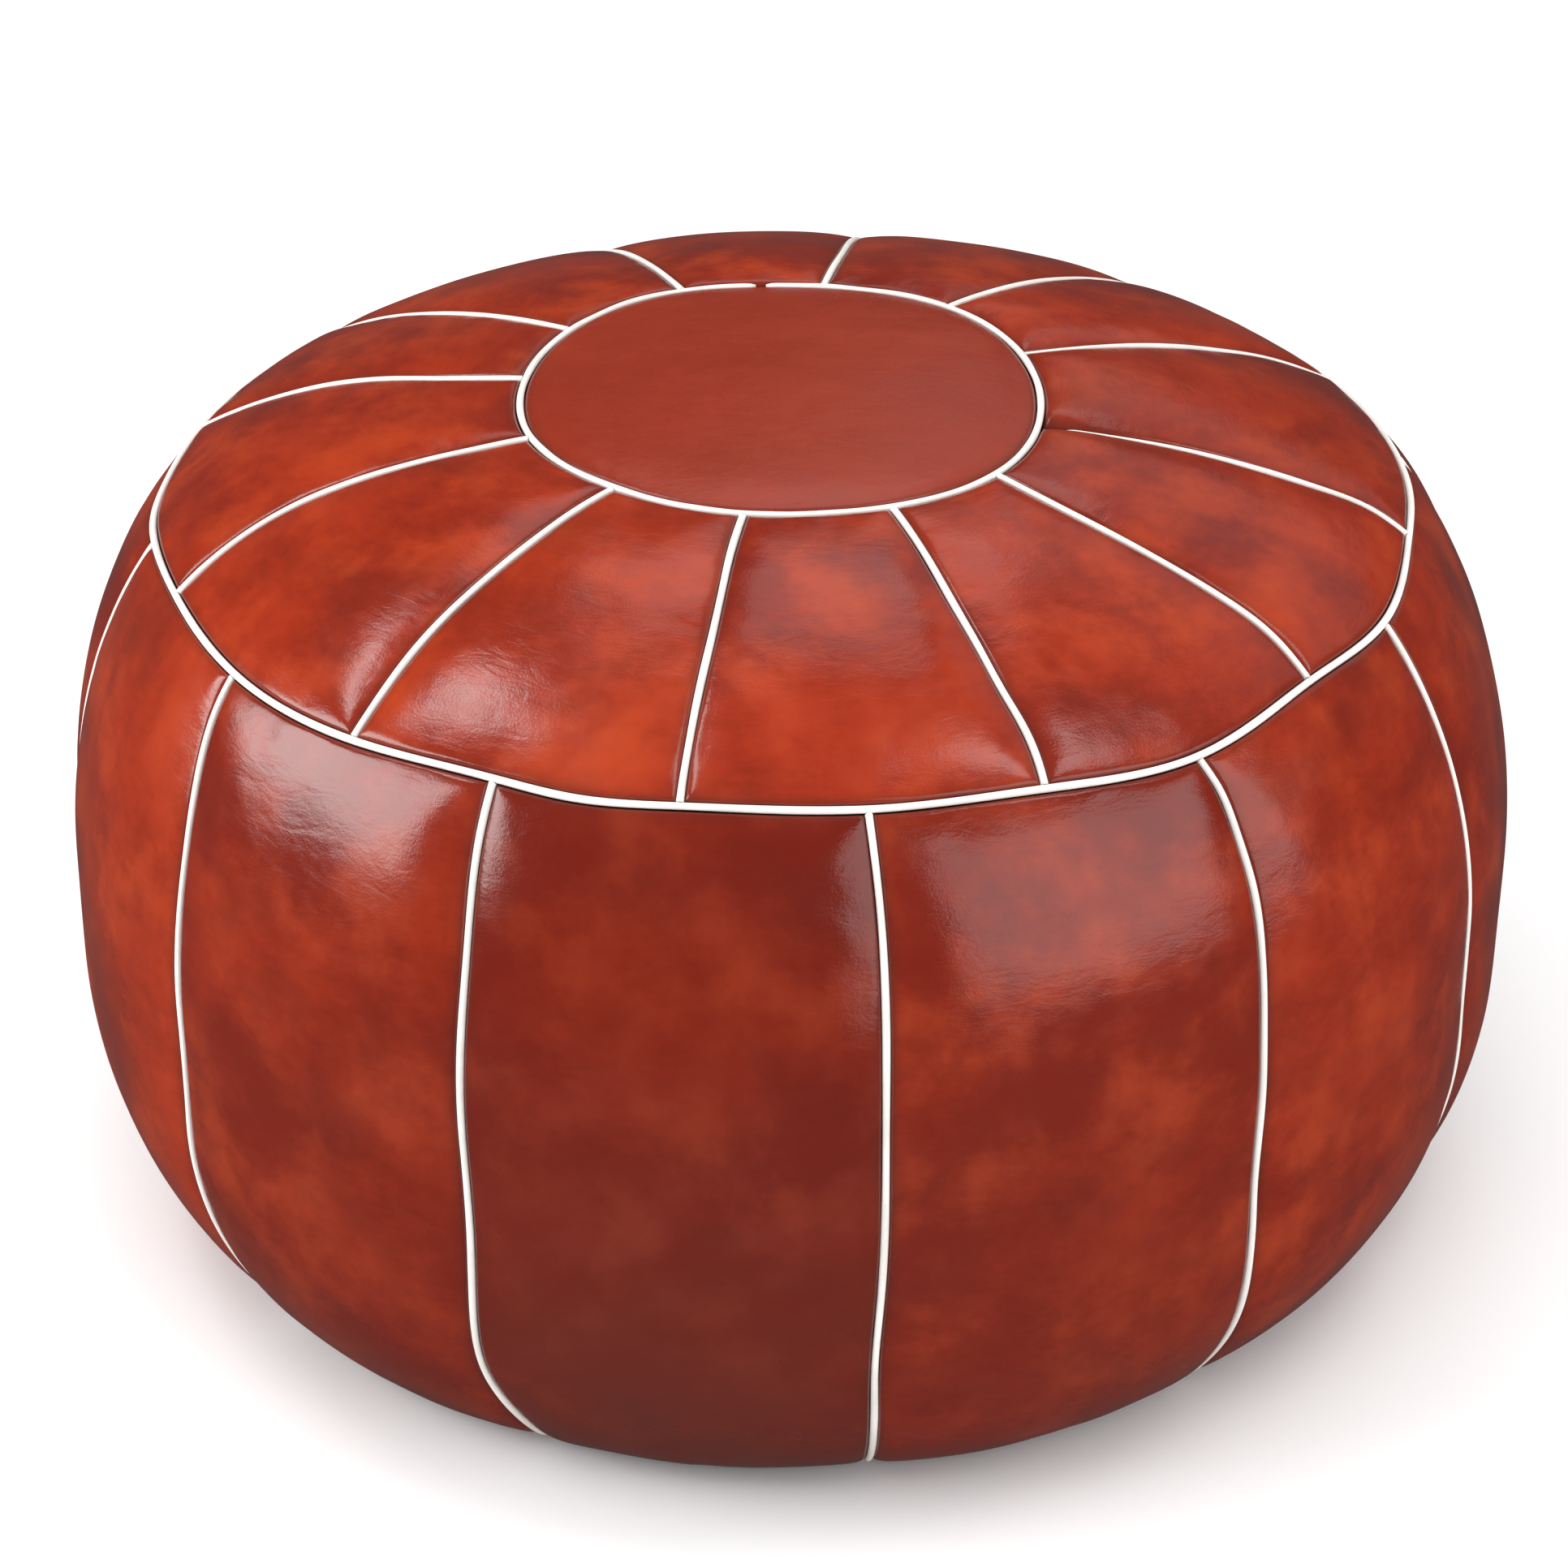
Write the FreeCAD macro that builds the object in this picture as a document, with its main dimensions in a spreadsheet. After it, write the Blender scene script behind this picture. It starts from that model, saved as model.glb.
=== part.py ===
import FreeCAD, Part
import math
import os
import Sketcher

# Round leather pouf: a domed top made of a round centre panel and twelve
# wedge panels, a barrel side made of twelve tall panels set half a step round
# from the wedges, corded piping in every seam, a two-piece base closed by a
# zip, and a fabric liner full of stuffing inside.
# Millimetres.  Z is up, the floor is Z = 0, the axis of the pouf is Z.

V = FreeCAD.Vector
doc = FreeCAD.newDocument("LeatherPouf")

# ------------------------------------------------------------- dimensions
sheet = doc.addObject("Spreadsheet::Sheet", "Dims")
ROW = [0]


class Q:
    """A length or angle that knows its number and its spreadsheet formula."""

    def __init__(self, val, txt):
        self.v = float(val)
        self.e = txt

    def _op(self, other, sign, fn):
        if not isinstance(other, Q):
            other = Q(other, repr(float(other)))
        return Q(fn(self.v, other.v), "(%s %s %s)" % (self.e, sign, other.e))

    def __add__(self, o):
        return self._op(o, "+", lambda a, b: a + b)

    def __sub__(self, o):
        return self._op(o, "-", lambda a, b: a - b)

    def __mul__(self, o):
        return self._op(o, "*", lambda a, b: a * b)

    def __truediv__(self, o):
        return self._op(o, "/", lambda a, b: a / b)


def dim(alias, value, note):
    """One driving dimension: a row in the sheet with a name and a remark."""
    ROW[0] += 1
    k = ROW[0]
    sheet.set("A%d" % k, note)
    sheet.set("B%d" % k, str(value))
    sheet.setAlias("B%d" % k, alias)
    return Q(value, "Dims." + alias)


def sind(q):
    return Q(math.sin(math.radians(q.v)), "sin(%s * 1 deg)" % q.e)


def cosd(q):
    return Q(math.cos(math.radians(q.v)), "cos(%s * 1 deg)" % q.e)


ZERO = Q(0, "0")

crown_top = dim("crown_top", 331.0, "height of the middle of the centre panel")
ring_a_rad = dim("ring_a_rad", 98.7, "radius of the small piped ring")
ring_a_z = dim("ring_a_z", 326.2, "height of the small piped ring")
ring_b_rad = dim("ring_b_rad", 236.5, "radius of the large piped ring")
ring_b_z = dim("ring_b_z", 284.1, "height of the large piped ring")
ring_b_tilt = dim("ring_b_tilt", 45.0, "slope of the seam under the large ring")
wedge_rad = dim("wedge_rad", 300.0, "curve of the wedge panels, ring to ring")
belly_rad = dim("belly_rad", 275.0, "largest radius of the side")
belly_hi = dim("belly_hi", 158.0, "top of the upright part of the side")
belly_lo = dim("belly_lo", 112.0, "bottom of the upright part of the side")
foot_rad = dim("foot_rad", 214.0, "radius where the side meets the floor")
foot_curve = dim("foot_curve", 32.65, "curve at the foot of the side")
foot_angle = dim("foot_angle", 50.68, "turn of the curve at the foot")
low_curve = dim("low_curve", 157.87, "curve of the lower side")
base_rad = dim("base_rad", 205.0, "radius of the seam round the base")
pitch = dim("pitch", 30.0, "angle from panel to panel")

skin = dim("skin", 1.4, "leather thickness")
fold = dim("fold", 9.0, "depth of the turned-in seam allowance")
seam_gap = dim("seam_gap", 0.7, "half the space between two allowances")
tail_half = dim("tail_half", 0.6, "half thickness of the piping's sewn edge")
pipe_rad = dim("pipe_rad", 1.75, "outer radius of the piping")
pipe_clear = dim("pipe_clear", 1.82, "radius cut away round the piping")
pipe_end = dim("pipe_end", 2.12, "distance kept from the large ring's middle by seams that meet it")
bore_rad = dim("bore_rad", 1.15, "inner radius of the piping")
cord_rad = dim("cord_rad", 1.1, "radius of the filler cord")
ring_split = dim("ring_split", 4.0, "gap where the small ring's ends meet")
split_angle = dim("split_angle", 104.7, "direction of that gap")
ring_butt = dim("ring_butt", 0.4, "gap where the large ring's ends meet")
butt_angle = dim("butt_angle", 97.0, "direction of that gap")
sink = dim("sink", 1.8, "depth of the piping's middle where it passes under")

liner_in = dim("liner_in", 10.8, "liner's distance inside the leather face")
liner_wall = dim("liner_wall", 0.5, "liner thickness")
fill_gap = dim("fill_gap", 0.1, "space between liner and stuffing")

dish_z = dim("dish_z", 5.3, "underside of the recess round the zip")
dish_half = dim("dish_half", 26.0, "half width of the recess at the floor")
dish_half_up = dim("dish_half_up", 16.0, "half width of the recess at its top")
dish_len = dim("dish_len", 164.0, "half length of the recess, straight part")
slot_half = dim("slot_half", 6.0, "half width of the opening for the zip")
slot_len = dim("slot_len", 152.0, "half length of the opening for the zip")
tape_z = dim("tape_z", 6.75, "underside of the zip tape")
tape_thick = dim("tape_thick", 0.6, "thickness of the zip tape")
tape_in = dim("tape_in", 2.95, "inner edge of the zip tape")
tape_out = dim("tape_out", 15.0, "outer edge of the zip tape")
tape_len = dim("tape_len", 162.0, "half length of the zip tape")
tooth_z = dim("tooth_z", 7.05, "middle height of the teeth")
tooth_in = dim("tooth_in", 0.6, "inner end of a tooth")
tooth_out = dim("tooth_out", 2.2, "outer end of a tooth")
tooth_tall = dim("tooth_tall", 2.4, "height of a tooth")
tooth_wide = dim("tooth_wide", 1.1, "width of a tooth along the zip")
tooth_step = dim("tooth_step", 2.2, "distance from tooth to tooth")
tooth_count = dim("tooth_count", 133, "teeth in a row")
bead_in = dim("bead_in", 1.9, "inner edge of the bead that carries the teeth")
bead_out = dim("bead_out", 2.9, "outer edge of that bead")
bead_tall = dim("bead_tall", 1.0, "height of that bead")
plate_len = dim("plate_len", 12.0, "length of the slider")
plate_wide = dim("plate_wide", 9.0, "width of the slider")
plate_thick = dim("plate_thick", 1.4, "thickness of a slider plate")
plate_lo = dim("plate_lo", 4.25, "underside of the slider's lower plate")
plate_hi = dim("plate_hi", 8.45, "underside of the slider's upper plate")
slider_x = dim("slider_x", 140.0, "place of the slider with the zip shut")
pin_z = dim("pin_z", 3.3, "height of the pull tab's pin")
pin_rad = dim("pin_rad", 0.8, "radius of the pull tab's pin")
loop_leg = dim("loop_leg", 1.6, "length of each leg of the slider's loop")
loop_open = dim("loop_open", 2.4, "opening of the slider's loop")
loop_half = dim("loop_half", 1.3, "half width of the slider's loop")
loop_z = dim("loop_z", 1.3, "underside of the slider's loop")
loop_bar = dim("loop_bar", 1.0, "thickness of the loop's bar")
tab_arm = dim("tab_arm", 1.3, "width of each arm of the pull tab")
tab_arm_in = dim("tab_arm_in", 1.6, "inner face of each arm of the pull tab")
tab_neck = dim("tab_neck", 5.5, "where the arms of the pull tab join")
tab_reach = dim("tab_reach", 26.0, "length of the pull tab from its pin")
tab_hole = dim("tab_hole", 1.5, "radius of the hole in the pull tab")
doc.recompute()


def bind(obj, prop, q):
    obj.setExpression(prop, q.e)


# --------------------------------------------------------------- sketches
def upright(sk):
    """Stand a free sketch up: its x is the radius and its y is the height."""
    sk.Placement = FreeCAD.Placement(V(0, 0, 0), FreeCAD.Rotation(V(1, 0, 0), 90))


def arc_by(p, q, rad, side, major=False):
    """Circle arc from p to q that bulges to the left (side 1) or right (-1)."""
    dx, dy = q[0] - p[0], q[1] - p[1]
    half = math.hypot(dx, dy) / 2.0
    mx, my = (p[0] + q[0]) / 2.0, (p[1] + q[1]) / 2.0
    nx, ny = -dy / (2 * half), dx / (2 * half)
    run = math.sqrt(max(rad * rad - half * half, 0.0)) * (-1 if major else 1)
    c = V(mx - side * nx * run, my - side * ny * run, 0)
    a = math.atan2(p[1] - c.y, p[0] - c.x)
    b = math.atan2(q[1] - c.y, q[0] - c.x)
    if side > 0:
        # bulging left of the direction of travel means turning clockwise
        arc = Part.ArcOfCircle(Part.Circle(c, V(0, 0, 1), rad), b, a)
        return arc, 2, 1
    arc = Part.ArcOfCircle(Part.Circle(c, V(0, 0, 1), rad), a, b)
    return arc, 1, 2


def draw(sk, pts, segs, closed=True):
    """Lines and arcs through pts.

    pts: (x, y) pairs of Q; a None coordinate isn't fixed, and takes its
    starting number from the third item.  segs: "L", or ("A", rad, side, mode)
    where mode "R" fixes the radius, "M" takes the longer way round, and
    "1"/"2" make the arc tangent to the segment before or after it.
    """
    num = []
    for p in pts:
        g = p[2] if len(p) > 2 else (p[0].v, p[1].v)
        num.append(g)
    n = len(pts)
    info = []
    for i, sgm in enumerate(segs):
        p, q = num[i], num[(i + 1) % n]
        if sgm == "L":
            k = sk.addGeometry(Part.LineSegment(V(p[0], p[1], 0), V(q[0], q[1], 0)))
            info.append((k, 1, 2))
        else:
            rad = sgm[1].v if isinstance(sgm[1], Q) else sgm[1]
            arc, a, b = arc_by(p, q, rad, sgm[2], "M" in sgm[3])
            k = sk.addGeometry(arc)
            info.append((k, a, b))
    m = len(segs)
    tangent = set()
    for i, sgm in enumerate(segs):
        if sgm != "L":
            if "1" in sgm[3]:
                tangent.add((i - 1) % m)
            if "2" in sgm[3]:
                tangent.add(i)
    for i in range(m if closed else m - 1):
        a, b = info[i], info[(i + 1) % m]
        kind = "Tangent" if i in tangent else "Coincident"
        sk.addConstraint(Sketcher.Constraint(kind, a[0], a[2], b[0], b[1]))
    count = 0
    for i, p in enumerate(pts):
        gi, pos = (info[i][0], info[i][1]) if i < m else (info[m - 1][0], info[m - 1][2])
        for axis, kind in ((0, "DistanceX"), (1, "DistanceY")):
            if p[axis] is None:
                continue
            c = sk.addConstraint(Sketcher.Constraint(kind, -1, 1, gi, pos, p[axis].v))
            sk.renameConstraint(c, "d%d" % count)
            sk.setExpression("Constraints.d%d" % count, p[axis].e)
            count += 1
    for i, sgm in enumerate(segs):
        if sgm != "L" and "R" in sgm[3]:
            c = sk.addConstraint(Sketcher.Constraint("Radius", info[i][0], sgm[1].v))
            sk.renameConstraint(c, "d%d" % count)
            sk.setExpression("Constraints.d%d" % count, sgm[1].e)
            count += 1
    return sk


def free_sketch(name, pts, segs, closed=True):
    sk = doc.addObject("Sketcher::SketchObject", name)
    upright(sk)
    draw(sk, pts, segs, closed)
    return sk


def dome(span, rise):
    """Radius of a dome whose middle is on the axis."""
    return (span * span + rise * rise) / (rise * 2)


def ring_b(deep, lat, side):
    """A point at the large ring's seam: deep inwards, lat to the top (+1)
    or to the side panel (-1)."""
    s, c = sind(ring_b_tilt), cosd(ring_b_tilt)
    x = ring_b_rad - deep * s
    z = ring_b_z - deep * c
    if side > 0:
        return (x - lat * c, z + lat * s)
    return (x + lat * c, z - lat * s)


def knee(off):
    """Numbers of the point between the two curves at the foot of the side."""
    b = math.radians(foot_angle.v)
    r = foot_curve.v - off.v
    return foot_rad.v + r * math.sin(b), foot_curve.v - r * math.cos(b)


def top_profile(name, off, lat, deep):
    """Wedge panel cut through its middle: face, ring folds and inner edge."""
    p0 = (ring_a_rad + lat, ring_a_z - off)
    p1 = ring_b(off, lat, 1)
    p2 = ring_b(deep, lat, 1)
    p3 = (ring_a_rad + lat, ring_a_z - deep)
    return free_sketch(name, [p0, p1, p2, p3], [
        ("A", wedge_rad - off, 1, "R"), "L", ("A", wedge_rad - deep, -1, "R"), "L"])


def side_arc_rad(p, x):
    return ((p[0].v - x) ** 2 + (p[1].v - belly_hi.v) ** 2) / (2 * abs(p[0].v - x))


def side_profile(name, off, lat, deep):
    """Side panel cut through its middle, from the large ring to the base."""
    p0 = ring_b(off, lat, -1)
    q0 = ring_b(deep, lat, -1)
    w1 = (belly_rad - off, belly_hi)
    w2 = (belly_rad - off, belly_lo)
    v1 = (belly_rad - deep, belly_hi)
    v2 = (belly_rad - deep, belly_lo)
    ko, kd = knee(off), knee(deep)
    f1 = (foot_rad, off)
    f2 = (foot_rad, deep)
    e1 = (base_rad + lat - seam_gap + 0.05, off)
    e2 = (base_rad + lat - seam_gap + 0.05, deep)
    pts = [p0, w1, w2, (Q(ko[0], "0"), None, ko), f1, e1,
           e2, f2, (Q(kd[0], "0"), None, kd), v2, v1, q0]
    kx1 = foot_rad + (foot_curve - off) * sind(foot_angle)
    kx2 = foot_rad + (foot_curve - deep) * sind(foot_angle)
    pts[3] = (kx1, None, ko)
    pts[8] = (kx2, None, kd)
    return free_sketch(name, pts, [
        ("A", side_arc_rad(p0, w1[0].v), 1, "2"),
        "L",
        ("A", (low_curve - off).v, 1, "12"),
        ("A", (foot_curve - off).v, 1, "2"),
        "L",
        "L",
        "L",
        ("A", (foot_curve - deep).v, -1, "12"),
        ("A", (low_curve - deep).v, -1, "2"),
        "L",
        ("A", side_arc_rad(q0, v1[0].v), -1, "1"),
        "L"])


def turn(name, src, angle, symmetric=True):
    r = doc.addObject("Part::Revolution", name)
    r.Source = src
    r.Axis = V(0, 0, 1)
    r.Base = V(0, 0, 0)
    r.Angle = angle
    r.Symmetric = symmetric
    r.Solid = True
    return r


def boolean(kind, name, base, tool):
    b = doc.addObject("Part::" + kind, name)
    b.Base = base
    b.Tool = tool
    return b


def fuse_all(name, items):
    f = doc.addObject("Part::MultiFuse", name)
    f.Shapes = items
    return f


def name_it(obj, label):
    obj.Label = label
    PARTS.append(obj)
    return obj


PARTS = []


# -------------------------------------------------------------- blanks
def sector(name, lat):
    """Wedge of space one panel wide, its two faces lat inside the seams."""
    c = doc.addObject("Part::Cylinder", name)
    c.Radius = 420.0
    c.Height = 500.0
    bind(c, "Angle", pitch)
    half = pitch / 2
    bind(c, "Placement.Base.x", lat / sind(half))
    c.Placement = FreeCAD.Placement(V(lat.v / math.sin(math.radians(half.v)), 0, -50),
                                    FreeCAD.Rotation(V(0, 0, 1), -half.v))
    return c


def torus(name, rad, z, small, lead=100.0):
    """Ring bar; lead turns its start away from the seams that meet it."""
    o = doc.addObject("Part::Torus", name)
    bind(o, "Radius1", rad)
    bind(o, "Radius2", small)
    o.Placement = FreeCAD.Placement(V(0, 0, z.v), FreeCAD.Rotation(V(0, 0, 1), lead))
    bind(o, "Placement.Base.z", z)
    return o


def tube(name, spine, rad, start, slope):
    """Round bar along a spine; slope is the spine's direction at its start."""
    c = doc.addObject("Part::Circle", name + "_circle")
    bind(c, "Radius", rad)
    c.Placement = FreeCAD.Placement(V(start[0], 0, start[1]),
                                    FreeCAD.Rotation(V(0, 0, 1), V(slope[0], 0, slope[1])))
    bind(c, "Placement.Base.x", start[2])
    bind(c, "Placement.Base.z", start[3])
    sw = doc.addObject("Part::Sweep", name)
    sw.Sections = [c]
    sw.Spine = (spine, ["Edge%d" % (k + 1) for k in range(spine.GeometryCount)])
    sw.Solid = True
    sw.Frenet = False
    sw.Transition = "Right corner"
    return sw


ring_cut_a = torus("ring_a_clear", ring_a_rad, ring_a_z, pipe_clear)
ring_cut_b = torus("ring_b_clear", ring_b_rad, ring_b_z, pipe_clear)
ring_end_b = torus("ring_b_end_clear", ring_b_rad, ring_b_z, pipe_end)

# spine of the top seams: one curve from the large ring to the small ring
top_spine = free_sketch("top_spine", [(ring_b_rad, ring_b_z), (ring_a_rad, ring_a_z)],
                        [("A", wedge_rad, -1, "R")], closed=False)
dx, dz = ring_a_rad.v - ring_b_rad.v, ring_a_z.v - ring_b_z.v
half_ch = math.hypot(dx, dz) / 2
chord_up = math.atan2(dz, dx) - math.asin(half_ch / wedge_rad.v)
top_start = (ring_b_rad.v, ring_b_z.v, ring_b_rad, ring_b_z)
top_slope = (math.cos(chord_up), math.sin(chord_up))

# spine of the side seams: tucked under the foot, then up the side
b_rad = math.radians(foot_angle.v)
kn = (foot_rad.v + foot_curve.v * math.sin(b_rad),
      foot_curve.v - foot_curve.v * math.cos(b_rad))
kn_x = foot_rad + foot_curve * sind(foot_angle)
tuck = (kn[1] - sink.v) / (1 - math.cos(b_rad))
foot_in = kn[0] - tuck * math.sin(b_rad)
p0 = (ring_b_rad, ring_b_z)
rad_hi = side_arc_rad(p0, belly_rad.v)
side_spine = free_sketch("side_spine", [
    (base_rad + 2.5, sink), (None, sink, (foot_in, sink.v)), (kn_x, None, kn),
    (belly_rad, belly_lo), (belly_rad, belly_hi), p0], [
    "L", ("A", tuck, -1, "12"), ("A", low_curve, -1, "2R"), "L", ("A", rad_hi, -1, "1")],
    closed=False)
side_start = (base_rad.v + 2.5, sink.v, base_rad + 2.5, sink)
side_slope = (1.0, 0.0)


def clear_pair(name, spine, start, slope):
    """The room two neighbouring pipings need, one on each side of a panel."""
    out = []
    for k, sgn in ((1, 1.0), (2, -1.0)):
        sw = tube("%s_%d" % (name, k), spine, pipe_clear, start, slope)
        sw.Placement.Rotation = FreeCAD.Rotation(V(0, 0, 1), sgn * pitch.v / 2)
        out.append(sw)
    return out


def panel_set(base, prof, spine, start, slope, rings):
    """Blank and hollow of one panel: face with folds turned in all round."""
    deep = turn(base + "_body", prof(base + "_out", ZERO, seam_gap, fold), 36)
    core = turn(base + "_hollow", prof(base + "_in", skin, seam_gap + skin, fold + 4), 36)
    blank = boolean("Common", base + "_sector", deep, sector(base + "_wedge", seam_gap))
    hollow = boolean("Common", base + "_room", core,
                     sector(base + "_inner_wedge", seam_gap + skin))
    tools = fuse_all(base + "_cutters", rings + clear_pair(base + "_clear", spine, start, slope))
    return boolean("Cut", base + "_blank", blank, tools), hollow


top_blank, top_room = panel_set("wedge_panel", top_profile, top_spine, top_start,
                                top_slope, [ring_cut_a, ring_cut_b])
side_blank, side_room = panel_set("barrel_panel", side_profile, side_spine, side_start,
                                  side_slope, [ring_cut_b])


def spin(obj, steps):
    """Turn a finished piece about Z by a number of panel steps."""
    ang = pitch * steps
    obj.Placement = FreeCAD.Placement(V(0, 0, 0), FreeCAD.Rotation(V(0, 0, 1), ang.v))
    obj.setExpression("Placement.Rotation.Angle", ang.e)


# ---------------------------------------------------------------- panels
# top seams lie at 0, 30, 60 ... degrees; side seams lie half a step on
for k in range(12):
    c = boolean("Cut", "top_panel_%02d" % (k + 1), top_blank, top_room)
    spin(c, k + 0.5)
    name_it(c, "top_panel_%02d" % (k + 1))
for k in range(12):
    c = boolean("Cut", "side_panel_%02d" % (k + 1), side_blank, side_room)
    spin(c, float(k))
    name_it(c, "side_panel_%02d" % (k + 1))

# centre panel: a shallow dome with its edge turned down into the small ring
edge = ring_a_rad - seam_gap
med_sk = free_sketch("medallion_profile", [
    (ZERO, crown_top), (edge, ring_a_z), (edge, ring_a_z - fold),
    (edge - skin, ring_a_z - fold), (edge - skin, ring_a_z - skin), (ZERO, crown_top - skin)],
    [("A", dome(edge, crown_top - ring_a_z), 1, "R"), "L", "L", "L",
     ("A", dome(edge - skin, crown_top - ring_a_z), -1, "R"), "L"])
med = boolean("Cut", "top_medallion", turn("medallion_turn", med_sk, 360, False), ring_cut_a)
name_it(med, "top_medallion")

# ---------------------------------------------------------------- piping
# ring piping: a hollow roll with a flat sewn edge, round a filler cord; its
# two ends meet at the back with a small gap
def ring_piping(label, cord_label, place, rad, z, gap, angle):
    roll = Q(math.sqrt(pipe_rad.v ** 2 - tail_half.v ** 2),
             "sqrt(%s ^ 2 - %s ^ 2)" % (pipe_rad.e, tail_half.e))
    sk = free_sketch(label + "_profile", [
        place(roll, tail_half), place(roll, tail_half * -1),
        place(fold, tail_half * -1), place(fold, tail_half)],
        [("A", pipe_rad, -1, "RM"), "L", "L", "L"])
    g = sk.addGeometry(Part.Circle(V(rad.v, z.v, 0), V(0, 0, 1), bore_rad.v))
    for nm, kind, q in (("bx", "DistanceX", rad), ("bz", "DistanceY", z), ("br", "Radius", bore_rad)):
        args = (-1, 1, g, 3, q.v) if kind != "Radius" else (g, q.v)
        c = sk.addConstraint(Sketcher.Constraint(kind, *args))
        sk.renameConstraint(c, nm)
        sk.setExpression("Constraints." + nm, q.e)
    # two equal lengths of the same section, joined half way round
    parted = gap / rad * (180 / math.pi)
    halves = []
    for nm, centre in (("_near", angle + 90 + parted / 4), ("_far", angle + 270 - parted / 4)):
        r = turn(label + nm, sk, 180 - parted.v / 2)
        bind(r, "Angle", Q(180, "180") - parted / 2)
        r.Placement = FreeCAD.Placement(V(0, 0, 0), FreeCAD.Rotation(V(0, 0, 1), centre.v))
        bind(r, "Placement.Rotation.Angle", centre)
        halves.append(r)
    r = fuse_all(label, halves)
    name_it(r, label)
    c = torus(cord_label, rad, z, cord_rad, angle.v + parted.v / 2)
    bind(c, "Angle3", Q(360, "360") - parted)
    bind(c, "Placement.Rotation.Angle", angle + parted / 2)
    name_it(c, cord_label)


def ring_a(deep, lat):
    return (ring_a_rad + lat, ring_a_z - deep)


def ring_b_mid(deep, lat):
    x, y = ring_b(deep, ZERO, 1)
    return (x + lat * cosd(ring_b_tilt), y - lat * sind(ring_b_tilt))


ring_piping("inner_ring_piping", "inner_ring_cord", ring_a, ring_a_rad, ring_a_z,
            ring_split, split_angle)
ring_piping("outer_ring_piping", "outer_ring_cord", ring_b_mid, ring_b_rad, ring_b_z,
            ring_butt, butt_angle)


def seam_piping(base, prof, spine, start, slope, rings, cord_rings, first, label, cord_label):
    """Twelve straight runs of piping, each with its sewn edge and its cord."""
    flat = doc.addObject("Part::Extrusion", base + "_edge")
    flat.Base = prof(base + "_edge_profile", Q(1.0, "1"), seam_gap, fold)
    flat.DirMode = "Normal"
    bind(flat, "LengthFwd", tail_half)
    bind(flat, "LengthRev", tail_half)
    flat.LengthFwd = tail_half.v
    flat.LengthRev = tail_half.v
    flat.Solid = True
    roll = boolean("Fuse", base + "_roll", tube(base + "_skin", spine, pipe_rad, start, slope), flat)
    ends = fuse_all(base + "_ends", rings) if len(rings) > 1 else rings[0]
    cord_ends = fuse_all(base + "_cord_ends", cord_rings) if len(cord_rings) > 1 else cord_rings[0]
    trimmed = boolean("Cut", base + "_trim", roll, ends)
    bore = tube(base + "_bore", spine, bore_rad, start, slope)
    cord = tube(base + "_filler", spine, cord_rad, start, slope)
    runs, cords = [], []
    for k in range(12):
        r = boolean("Cut", "%s_run_%02d" % (base, k + 1), trimmed, bore)
        spin(r, k + first)
        runs.append(r)
        c = boolean("Cut", "%s_cord_%02d" % (base, k + 1), cord, cord_ends)
        spin(c, k + first)
        cords.append(c)
    for items, lab in ((runs, label), (cords, cord_label)):
        comp = doc.addObject("Part::Compound", lab)
        comp.Links = items
        name_it(comp, lab)


seam_piping("top_seam", top_profile, top_spine, top_start, top_slope,
            [ring_cut_a, ring_end_b], [ring_cut_a, ring_cut_b], 0.0, "top_radial_piping",
            "top_radial_cord")
seam_piping("side_seam", side_profile, side_spine, side_start, side_slope,
            [ring_end_b], [ring_cut_b], 0.5, "side_piping", "side_cord")


# ------------------------------------------------------------------ base
def cyl(name, rad, z, tall):
    c = doc.addObject("Part::Cylinder", name)
    bind(c, "Radius", rad)
    bind(c, "Height", tall)
    bind(c, "Placement.Base.z", z)
    return c


def box(name, x, y, z, lx, ly, lz):
    """Box from its lower corner and its three lengths, all bound."""
    b = doc.addObject("Part::Box", name)
    for prop, q in (("Length", lx), ("Width", ly), ("Height", lz),
                    ("Placement.Base.x", x), ("Placement.Base.y", y), ("Placement.Base.z", z)):
        bind(b, prop, q)
    return b


def stadium(name, half_len, half_wide, z):
    sk = doc.addObject("Sketcher::SketchObject", name)
    bind(sk, "Placement.Base.z", z)
    r = half_wide
    draw(sk, [(half_len * -1, r * -1), (half_len, r * -1), (half_len, r), (half_len * -1, r)],
         ["L", ("A", r, -1, "1"), "L", ("A", r, -1, "1")])
    return sk


def loft(name, a, b):
    lf = doc.addObject("Part::Loft", name)
    lf.Sections = [a, b]
    lf.Solid = True
    lf.Ruled = True
    return lf


rim = base_rad - 0.05
plate = cyl("base_plate", rim, ZERO, skin)
wall = boolean("Cut", "base_wall", cyl("base_wall_out", rim, ZERO, fold),
               cyl("base_wall_in", rim - skin, Q(-1, "-1"), fold + 2))
bump = loft("base_bump", stadium("bump_low", dish_len, dish_half + 3, ZERO),
            stadium("bump_high", dish_len, dish_half_up + 1.2, dish_z + skin))
pocket = loft("base_pocket", stadium("pocket_low", dish_len, dish_half, ZERO),
              stadium("pocket_high", dish_len, dish_half_up, dish_z))
base_up = fuse_all("base_up", [plate, wall, bump])
slot = box("zip_slot", slot_len * -1, slot_half * -1, Q(-1, "-1"), slot_len * 2, slot_half * 2,
           Q(20, "20"))
base_cut = boolean("Cut", "base_cut", base_up, fuse_all("base_cutters", [pocket, slot]))
for label, sgn in (("bottom_panel_front", -1.0), ("bottom_panel_back", 1.0)):
    b = doc.addObject("Part::Box", label + "_half")
    b.Length, b.Width, b.Height = 600, 300, 60
    b.Placement.Base = V(-300, 0.05 if sgn > 0 else -300.05, -10)
    name_it(boolean("Common", label, base_cut, b), label)

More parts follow.
